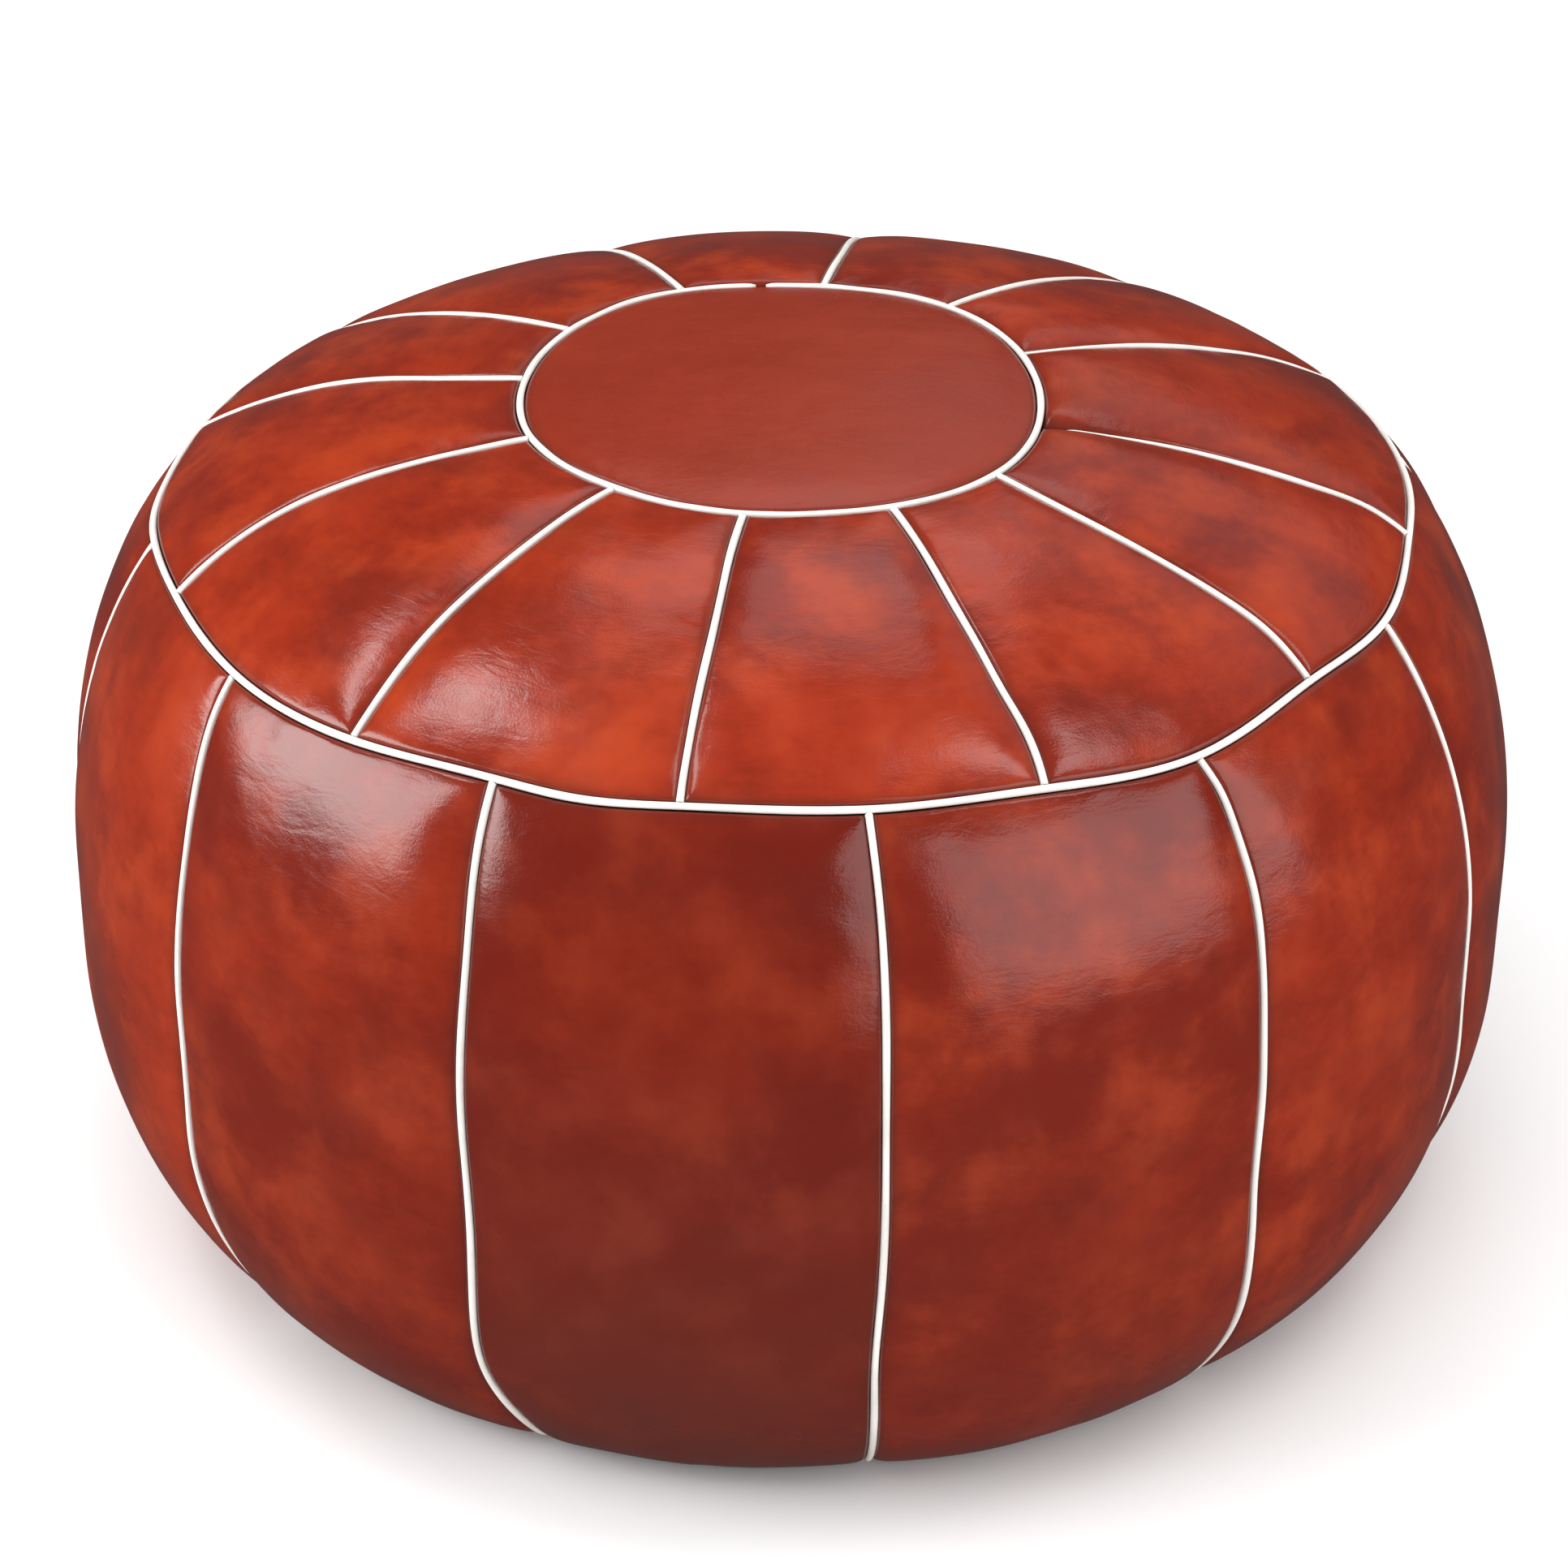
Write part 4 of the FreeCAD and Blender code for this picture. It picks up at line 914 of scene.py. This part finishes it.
def sweep(pts, up, rads, tail_half=0.5 * MM, deep=6.0 * MM, n_round=14, trim=(None, None)):
    """Tube along pts. trim is a function of the height over the tube's middle
    that says how far each line stops short of the first or last point."""
    t, nn, b = run_frames(pts, up)
    m = len(pts)
    ring = len(section(n_round, 1.6 * MM, tail_half, deep))
    co = np.zeros((m, ring, 3))
    for i in range(m):
        sec = section(n_round, rads[i], tail_half, deep)
        for k, (x, y) in enumerate(sec):
            co[i, k] = pts[i] + b[i] * x + nn[i] * y
            if i == 0 and trim[0]:
                co[i, k] += t[i] * trim[0](y)
            if i == m - 1 and trim[1]:
                co[i, k] -= t[i] * trim[1](y)
    faces = grid_faces(ring, m, wrap=True, flip=True)
    faces.append(tuple(range(ring)))
    faces.append(tuple((m - 1) * ring + k for k in range(ring - 1, -1, -1)))
    return co.reshape(-1, 3), faces


def join_parts(name, parts):
    co, faces, base = [], [], 0
    for c, f in parts:
        co.append(c)
        faces += [tuple(base + i for i in q) for q in f]
        base += len(c)
    ob = mesh_object(name, np.concatenate(co), faces)
    bpy.context.view_layer.update()
    shade_smooth(ob)
    return ob


def saddle(y):
    """Where a seam's piping stops beside the ring's piping."""
    r = 1.72 * MM
    return max(math.sqrt(max(r * r - y * y, 0.0)), 0.72 * MM)


def cord_tube(pts, up, rad, n_round=8, cut=(2.0 * MM, 2.0 * MM)):
    t, nn, b = run_frames(pts, up)
    m = len(pts)
    co = np.zeros((m, n_round, 3))
    for i in range(m):
        for k in range(n_round):
            a = 2 * math.pi * k / n_round
            co[i, k] = pts[i] + (b[i] * math.cos(a) + nn[i] * math.sin(a)) * rad[i]
    co[0] += t[0] * cut[0]
    co[-1] -= t[-1] * cut[1]
    faces = grid_faces(n_round, m, wrap=True, flip=True)
    faces.append(tuple(range(n_round)))
    faces.append(tuple((m - 1) * n_round + k for k in range(n_round - 1, -1, -1)))
    return co.reshape(-1, 3), faces


def up_of(base, s, phi, off):
    return base(s, phi, off + 1 * MM) - base(s, phi, off)


def seam_line(base, f, length, sunk, n, extra=None, seed=0):
    s = np.linspace(0, length, n)
    s[1:4] = s[0] + np.array([2.6, 4.2, 6.5]) * MM
    s[-4:-1] = s[-1] - np.array([6.5, 4.2, 2.6]) * MM
    phi = f(s)
    off = -np.array([float(sunk(x)) for x in s]) - (extra(s) if extra is not None else 0)
    r = (top_line(s) if base is top_base else side_line(s))[0]
    # stitched by hand, so the roll wanders a little within its seam
    wob = np.array([noise.noise(Vector((x * 38, seed * 3.3, 0.5))) for x in s]) * 0.22 * MM
    rise = np.array([noise.noise(Vector((x * 30, seed * 3.3, 7.5))) for x in s]) * 0.20 * MM
    ends = smooth(np.minimum(s, length - s) / (12 * MM))
    pts = base(s, phi + wob * ends / r, off + rise * ends)
    return s, pts, up_of(base, s, phi, off)


top_parts, top_cords = [], []
for k in range(12):
    s, pts, up = seam_line(top_base, SPOKE[k], L1, lambda x: SUNK, 58,
                           lambda s, k=k: spoke_deep(k, s), k)
    rads = spoke_size(k, s)
    if k == 0:      # this one fades out before it meets the small ring
        rads[:2] = rads[2] * 0.75
    top_parts.append(sweep(pts, up, rads, trim=(saddle, saddle)))
    top_cords.append(cord_tube(pts, up, np.minimum(rads - 0.55 * MM, 1.1 * MM)))
side_parts, side_cords = [], []
for k in range(12):
    s, pts, up = seam_line(side_base, SIDE[k], L2 - 2.5 * MM, lambda x: float(side_sunk(x)), 120, None, k + 20)
    rads = PIPE * (1 + 0.06 * np.sin(s * 70 + k * 1.7))
    if k == 8:      # the roll is squashed wide at the foot of this seam
        rads = rads * (1 + 0.20 * np.exp(-((s - 0.268) / 0.02) ** 2))
    side_parts.append(sweep(pts, up, rads, trim=(saddle, None)))
    side_cords.append(cord_tube(pts, up, np.minimum(rads - 0.55 * MM, 1.1 * MM), cut=(2 * MM, 0.6 * MM)))


def ring_line(which, gap, at, n):
    rad = RA if which == "a" else RB
    half = gap / rad / 2
    phi = np.radians(at) + half + (2 * math.pi - 2 * half) * np.linspace(0, 1, n)
    wob = np.array([noise.noise(Vector((math.cos(p) * 6, math.sin(p) * 6, 3.5 if which == "a" else 9.5)))
                    for p in phi]) * 0.25 * MM
    if which == "a":
        base = top_base(np.zeros(n), phi, -SUNK + wob)
        up = np.tile([0.0, 0.0, 1.0], (n, 1))
    else:
        base = side_base(np.zeros(n), phi, -SUNK + wob)
        up = np.stack([NB[0] * np.cos(phi), NB[0] * np.sin(phi), np.full(n, NB[1])], -1)
    return phi, base, up


def ring_roll(which, gap, at, n, taper):
    phi, pts, up = ring_line(which, gap, at, n)
    d = np.concatenate([[0], np.cumsum(np.linalg.norm(np.diff(pts, axis=0), axis=1))])
    end = np.minimum(d, d[-1] - d)
    rads = PIPE * 0.98 * (1 + 0.05 * np.sin(phi * 17))
    if taper:
        rads *= 0.55 + 0.45 * np.sqrt(np.clip(1 - (1 - end / (5 * MM)) ** 2, 0, 1)) * (end < 5 * MM) \
            + 0.45 * (end >= 5 * MM)
    core = np.clip(np.minimum(rads - 0.55 * MM, 1.1 * MM), 0.3 * MM, None)
    return sweep(pts, up, rads), cord_tube(pts, up, core, cut=(0.0, 0.0))


roll_a, core_a = ring_roll("a", 4.0 * MM, 104.7, 280, True)
roll_b, core_b = ring_roll("b", 0.4 * MM, 97.0, 640, False)
for name, parts, mat, slot, node in (
        ("inner_ring_piping_roll", [roll_a], PIPING, "piping", "inner_ring_piping"),
        ("outer_ring_piping_roll", [roll_b], PIPING, "piping", "outer_ring_piping"),
        ("top_radial_piping_rolls", top_parts, PIPING, "piping", "top_radial_piping"),
        ("side_piping_rolls", side_parts, PIPING, "piping", "side_piping"),
        ("inner_ring_filler", [core_a], CORD, "filler_cord", "inner_ring_cord"),
        ("outer_ring_filler", [core_b], CORD, "filler_cord", "outer_ring_cord"),
        ("top_radial_fillers", top_cords, CORD, "filler_cord", "top_radial_cord"),
        ("side_fillers", side_cords, CORD, "filler_cord", "side_cord")):
    ob = dress(join_parts(name, parts), mat)
    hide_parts(node)


# -------------------------------------------------------------------- base
SLOT_X = 152.0 * MM
SLOT_Y = 6.0 * MM
DISH = 5.3 * MM


def dish(x, y):
    """Height of the base's underside: flat, with a recess round the zip."""
    cx = np.clip(x, -164 * MM, 164 * MM)
    d = np.hypot(x - cx, y)
    return DISH * smooth(1 - (d - 16 * MM) / (10 * MM))


def base_half(sign):
    rim = BASE - 0.35 * MM
    xs = np.concatenate([np.linspace(-rim + 0.6 * MM, -192 * MM, 5), np.linspace(-190 * MM, -153.2 * MM, 14),
                         [-SLOT_X - 0.6 * MM, -SLOT_X + 0.2 * MM], np.linspace(-150 * MM, 150 * MM, 75),
                         [SLOT_X - 0.2 * MM, SLOT_X + 0.6 * MM], np.linspace(153.2 * MM, 190 * MM, 14),
                         np.linspace(192 * MM, rim - 0.6 * MM, 5)])
    fixed = np.array([6.0, 6.8, 8.5, 11, 14, 16, 18, 20, 22, 24, 26, 29, 34]) * MM
    out = []
    up_rows = ((0.0, 0.0), (0.25, 0.3), (0.5, 1.2), (0.55, 3.4), (0.55, 6.5))
    for x in xs:
        y_in = SLOT_Y if abs(x) < SLOT_X else 0.06 * MM
        y_out = math.sqrt(max(rim ** 2 - x * x, 0)) - 0.2 * MM
        span = y_out - y_in
        col = []
        ys = np.concatenate([fixed - fixed[0] + y_in,
                             np.linspace(34 * MM, max(y_out, 35 * MM), 30)[1:] if y_out > 40 * MM else
                             np.linspace(34 * MM, 60 * MM, 30)[1:]])
        if y_out <= 40 * MM:
            f = (ys - ys[0]) / (ys[-1] - ys[0])
            ys = y_in + span * f
        else:
            ys = np.where(ys > y_out, y_out, ys)
        for y in ys:
            col.append((x, y, float(dish(np.float64(x), np.float64(y)))))
        # the edge is turned up inside the seam
        ex, ey = x / rim, y_out / rim
        ln = math.hypot(ex, ey)
        for lift, up in up_rows[1:]:
            col.append((x + ex / ln * lift * 0.2 * MM, y_out + ey / ln * lift * 0.2 * MM, up * MM))
        out.append(col)
    co = np.array(out)
    nu, nv = co.shape[1], co.shape[0]
    co = co.reshape(-1, 3)
    low = bumps(co * np.array([1, 1, 0]), 28.0, 4.0 + sign, 0.28 * MM)
    flat = smooth((np.abs(co[:, 1]) - 30 * MM) / (10 * MM)) * smooth((rim - np.hypot(co[:, 0], co[:, 1])) / (8 * MM))
    co[:, 2] += np.maximum(low, 0) * flat
    if sign < 0:
        co[:, 1] *= -1
    name = "bottom_panel_back" if sign > 0 else "bottom_panel_front"
    ob = mesh_object(name + "_leather", co, grid_faces(nu, nv, flip=sign < 0))
    hide = co.copy()
    hide[:, 2] = 70 + sign
    put_attribute(ob.data, "hide", hide, "FLOAT_VECTOR")
    put_attribute(ob.data, "edge", np.minimum(rim - np.hypot(co[:, 0], co[:, 1]) + 1 * MM, 0.03))
    put_attribute(ob.data, "tone", np.full(len(co), 0.6 * sign))
    # painted shade at half strength all over the underside
    put_attribute(ob.data, "low", np.full(len(co), 0.5))
    sol = ob.modifiers.new("thick", "SOLIDIFY")
    sol.thickness = 1.3 * MM
    sol.offset = -1.0
    sol.use_rim = True
    bake(ob)
    dress(ob, LEATHER)
    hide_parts(name)
    return ob


for sign in (1, -1):
    base_half(sign)


def stitch(a, b, rad, up):
    """One stitch: a short bent capsule that dips into the leather at its ends."""
    a, b = np.array(a, float), np.array(b, float)
    t = np.linspace(0, 1, 7)
    lift = np.sin(np.pi * t) ** 0.6
    pts = a + (b - a) * t[:, None] + np.array([0, 0, up]) * lift[:, None]
    ups = np.tile([0.0, 0.0, -1.0], (7, 1))
    rads = rad * (0.45 + 0.55 * np.sin(np.pi * np.clip(t, 0.04, 0.96)) ** 0.4)
    return cord_tube(pts, ups, rads, n_round=6, cut=(0, 0))


stitches = []
for sy in (-1, 1):
    for row in (8.6 * MM,):
        n = 76
        for i in range(n):
            x0 = -SLOT_X - 1 * MM + (2 * SLOT_X + 2 * MM) * i / n
            x1 = x0 + (2 * SLOT_X + 2 * MM) / n * 0.78
            stitches.append(stitch((x0, sy * row, DISH + 0.15 * MM), (x1, sy * row, DISH + 0.15 * MM),
                                   0.32 * MM, -0.42 * MM))
for sx in (-1, 1):
    for i in range(4):
        y0 = -8.0 * MM + 4.1 * MM * i
        stitches.append(stitch((sx * (SLOT_X + 2.4 * MM), y0, DISH + 0.15 * MM),
                               (sx * (SLOT_X + 2.4 * MM), y0 + 3.2 * MM, DISH + 0.15 * MM), 0.32 * MM, -0.42 * MM))
ob = dress(join_parts("zip_stitching", stitches), THREAD)


# -------------------------------------------------------- liner and stuffing
def inside_line(off, n):
    """Closed line a fixed distance inside the leather, from the crown down."""
    ts = np.linspace(0, 1, n)
    pts = []
    crown = TOP - off - 3.4 * MM
    for r in np.linspace(0.0, RA, 16):
        t = r / RA
        pts.append((r, crown - (crown - (ZA - off + 0.6 * MM)) * t * t))
    for s in np.linspace(0, L1, 22)[1:-1]:
        r, z, nr, nz = top_line(s)
        pts.append((float(r - nr * off), float(z - nz * off)))
    for s in np.linspace(6 * MM, L2 - 12 * MM, 44):
        r, z, nr, nz = side_line(s)
        pts.append((float(r - nr * off), float(z - nz * off)))
    for r in np.linspace(FOOT - 6 * MM, 0.0, 18):
        pts.append((r, off))
    return np.array(pts)


def lumpy(name, off, seed, amount, scale, inward, mat, node, wall=None, lift=0.0):
    line = inside_line(off, 10)
    m, k = len(line), 96
    co = []
    for i, (r, z) in enumerate(line):
        if i in (0, m - 1):
            co.append((0.0, 0.0, z))
            continue
        for a in range(k):
            ph = 2 * math.pi * a / k
            co.append((r * math.cos(ph), r * math.sin(ph), z))
    co = np.array(co)
    faces = []

    def at(i, a):
        return 0 if i == 0 else (1 + (m - 2) * k if i == m - 1 else 1 + (i - 1) * k + a % k)
    for i in range(m - 1):
        for a in range(k):
            q = [at(i, a), at(i + 1, a), at(i + 1, a + 1), at(i, a + 1)]
            q = [x for j, x in enumerate(q) if x not in q[:j]]
            faces.append(tuple(q))
    push = bumps(co, scale, seed, amount)
    if inward:
        push = -np.abs(push)
    mid = np.array([0, 0, 0.15])
    d = co - mid
    d /= np.maximum(np.linalg.norm(d, axis=1), 1e-6)[:, None]
    co = co + d * push[:, None]
    ob = mesh_object(name, co, faces)
    if wall:
        sol = ob.modifiers.new("wall", "SOLIDIFY")
        sol.thickness = wall
        sol.offset = -1.0
        bake(ob)
    else:
        shade_smooth(ob)
    dress(ob, mat)
    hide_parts(node)
    return ob


lumpy("inner_liner_cloth", 10.9 * MM, 2.0, 0.9 * MM, 14.0, True, LINER, "inner_liner", 0.5 * MM)
pad = lumpy("stuffing", 13.2 * MM, 5.0, 1.1 * MM, 22.0, True, STUFF, "filling")

# ---------------------------------------------------------------- zip parts
for node, mat in (("zip_tape_front", TAPE), ("zip_tape_back", TAPE), ("zip_teeth_front", TEETH),
                  ("zip_teeth_back", TEETH), ("zip_top_stops", METAL), ("zip_bottom_stop", METAL),
                  ("zip_slider", METAL), ("zip_pull_tab", METAL)):
    ob = NODES[node]
    ob.data.materials.clear()
    ob.data.materials.append(mat)


# ------------------------------------------------------------ floor, light
def plain(name, color, rough, spec=0.3):
    m, nt, bs = material(name)
    n = Net(nt)
    o = object_coords(n)
    c = n.mix(n.noise(o, 3.0, 3.0), color, tuple(x * 0.985 for x in color))
    n.link(c, bs.inputs["Base Color"])
    bs.inputs["Roughness"].default_value = rough
    bs.inputs["Specular IOR Level"].default_value = spec
    return m


FLOOR_MAT = plain("floor_pale", (0.93, 0.93, 0.93), 0.75, 0.1)
size = 14.0
floor = mesh_object("floor", [(-size, -size, -0.0002), (size, -size, -0.0002), (size, size, -0.0002),
                              (-size, size, -0.0002)], [(0, 1, 2, 3)])
floor.data.materials.append(FLOOR_MAT)

TURN = math.radians(9.111)


def spin_z(v):
    c, s = math.cos(TURN), math.sin(TURN)
    return Vector((c * v[0] - s * v[1], s * v[0] + c * v[1], v[2]))


def softbox(name, azimuth, elevation, distance, wide, tall, watts, color=(1, 1, 1), look=(0, 0, 0.16)):
    """Area light at a place given round the view's own azimuth."""
    a, e = math.radians(azimuth), math.radians(elevation)
    p = Vector((math.cos(e) * math.cos(a), math.cos(e) * math.sin(a), math.sin(e))) * distance
    p = spin_z(p) + Vector(look)
    la = bpy.data.lights.new(name, "AREA")
    la.shape = "RECTANGLE"
    la.size, la.size_y = wide, tall
    la.energy = watts
    la.color = color
    ob = bpy.data.objects.new(name, la)
    COL.objects.link(ob)
    ob.location = p
    ob.rotation_euler = (Vector(look) - p).to_track_quat("-Z", "Y").to_euler()
    return ob


softbox("left_window", -167, 25, 1.95, 1.25, 0.95, 28)
softbox("back_left_high", 163, 60, 2.2, 0.70, 0.36, 6.0)
softbox("overhead_panel", -16, 64, 2.2, 0.62, 0.74, 5.5)
softbox("front_right", -42, 20, 2.0, 2.05, 1.35, 18)
softbox("back_soft", 90, 60, 2.3, 1.0, 0.95, 3.4)
softbox("back_wide", 52, 42, 2.6, 3.0, 1.4, 5.0)
# broad fills: they light the leather but aren't mirrored in it
for ob in (softbox("fill_above", -90, 84, 5.0, 6.5, 6.5, 262), softbox("fill_front", -100, 24, 2.8, 2.4, 1.6, 16),
           softbox("fill_right", 12, 24, 2.6, 1.6, 1.2, 9)):
    ob.visible_glossy = False
floor.visible_glossy = False

world = bpy.data.worlds.new("studio")
scene.world = world
world.use_nodes = True
bg = world.node_tree.nodes["Background"]
bg.inputs[0].default_value = (1.0, 1.0, 1.0, 1)
bg.inputs[1].default_value = 0.075
scene.view_settings.view_transform = "Standard"
scene.view_settings.look = "None"
scene.view_settings.exposure = 0.0

# -------------------------------------------------------------------- camera
U = 0.275
el = math.radians(32.40)
D = 6.435
yaw, pitch, roll = 0.0011, -0.0362, -0.0069
C = np.array([0, -D * math.cos(el), D * math.sin(el) + 0.3]) * U
fw = np.array([0, math.cos(el), -math.sin(el)])
right = np.array([1.0, 0, 0])
R = np.stack([right, np.cross(right, fw), fw])
cy, sy_, cp, sp_, cr, sr = (math.cos(yaw), math.sin(yaw), math.cos(pitch), math.sin(pitch),
                            math.cos(roll), math.sin(roll))
R = (np.array([[cr, sr, 0], [-sr, cr, 0], [0, 0, 1]]) @ np.array([[1, 0, 0], [0, cp, sp_], [0, -sp_, cp]])
     @ np.array([[cy, 0, sy_], [0, 1, 0], [-sy_, 0, cy]]) @ R)
x_ax, y_ax, z_ax = spin_z(R[0]), spin_z(R[1]), spin_z(-R[2])
place = spin_z(C)
cam_data = bpy.data.cameras.new("camera")
cam_data.lens = 5440.0 / 1932.0 * 36.0
cam_data.sensor_width = 36.0
cam_data.clip_start = 0.05
cam_data.clip_end = 60
cam = bpy.data.objects.new("camera", cam_data)
COL.objects.link(cam)
cam.matrix_world = Matrix(((x_ax.x, y_ax.x, z_ax.x, place.x), (x_ax.y, y_ax.y, z_ax.y, place.y),
                           (x_ax.z, y_ax.z, z_ax.z, place.z), (0, 0, 0, 1)))
scene.camera = cam

bpy.context.view_layer.update()
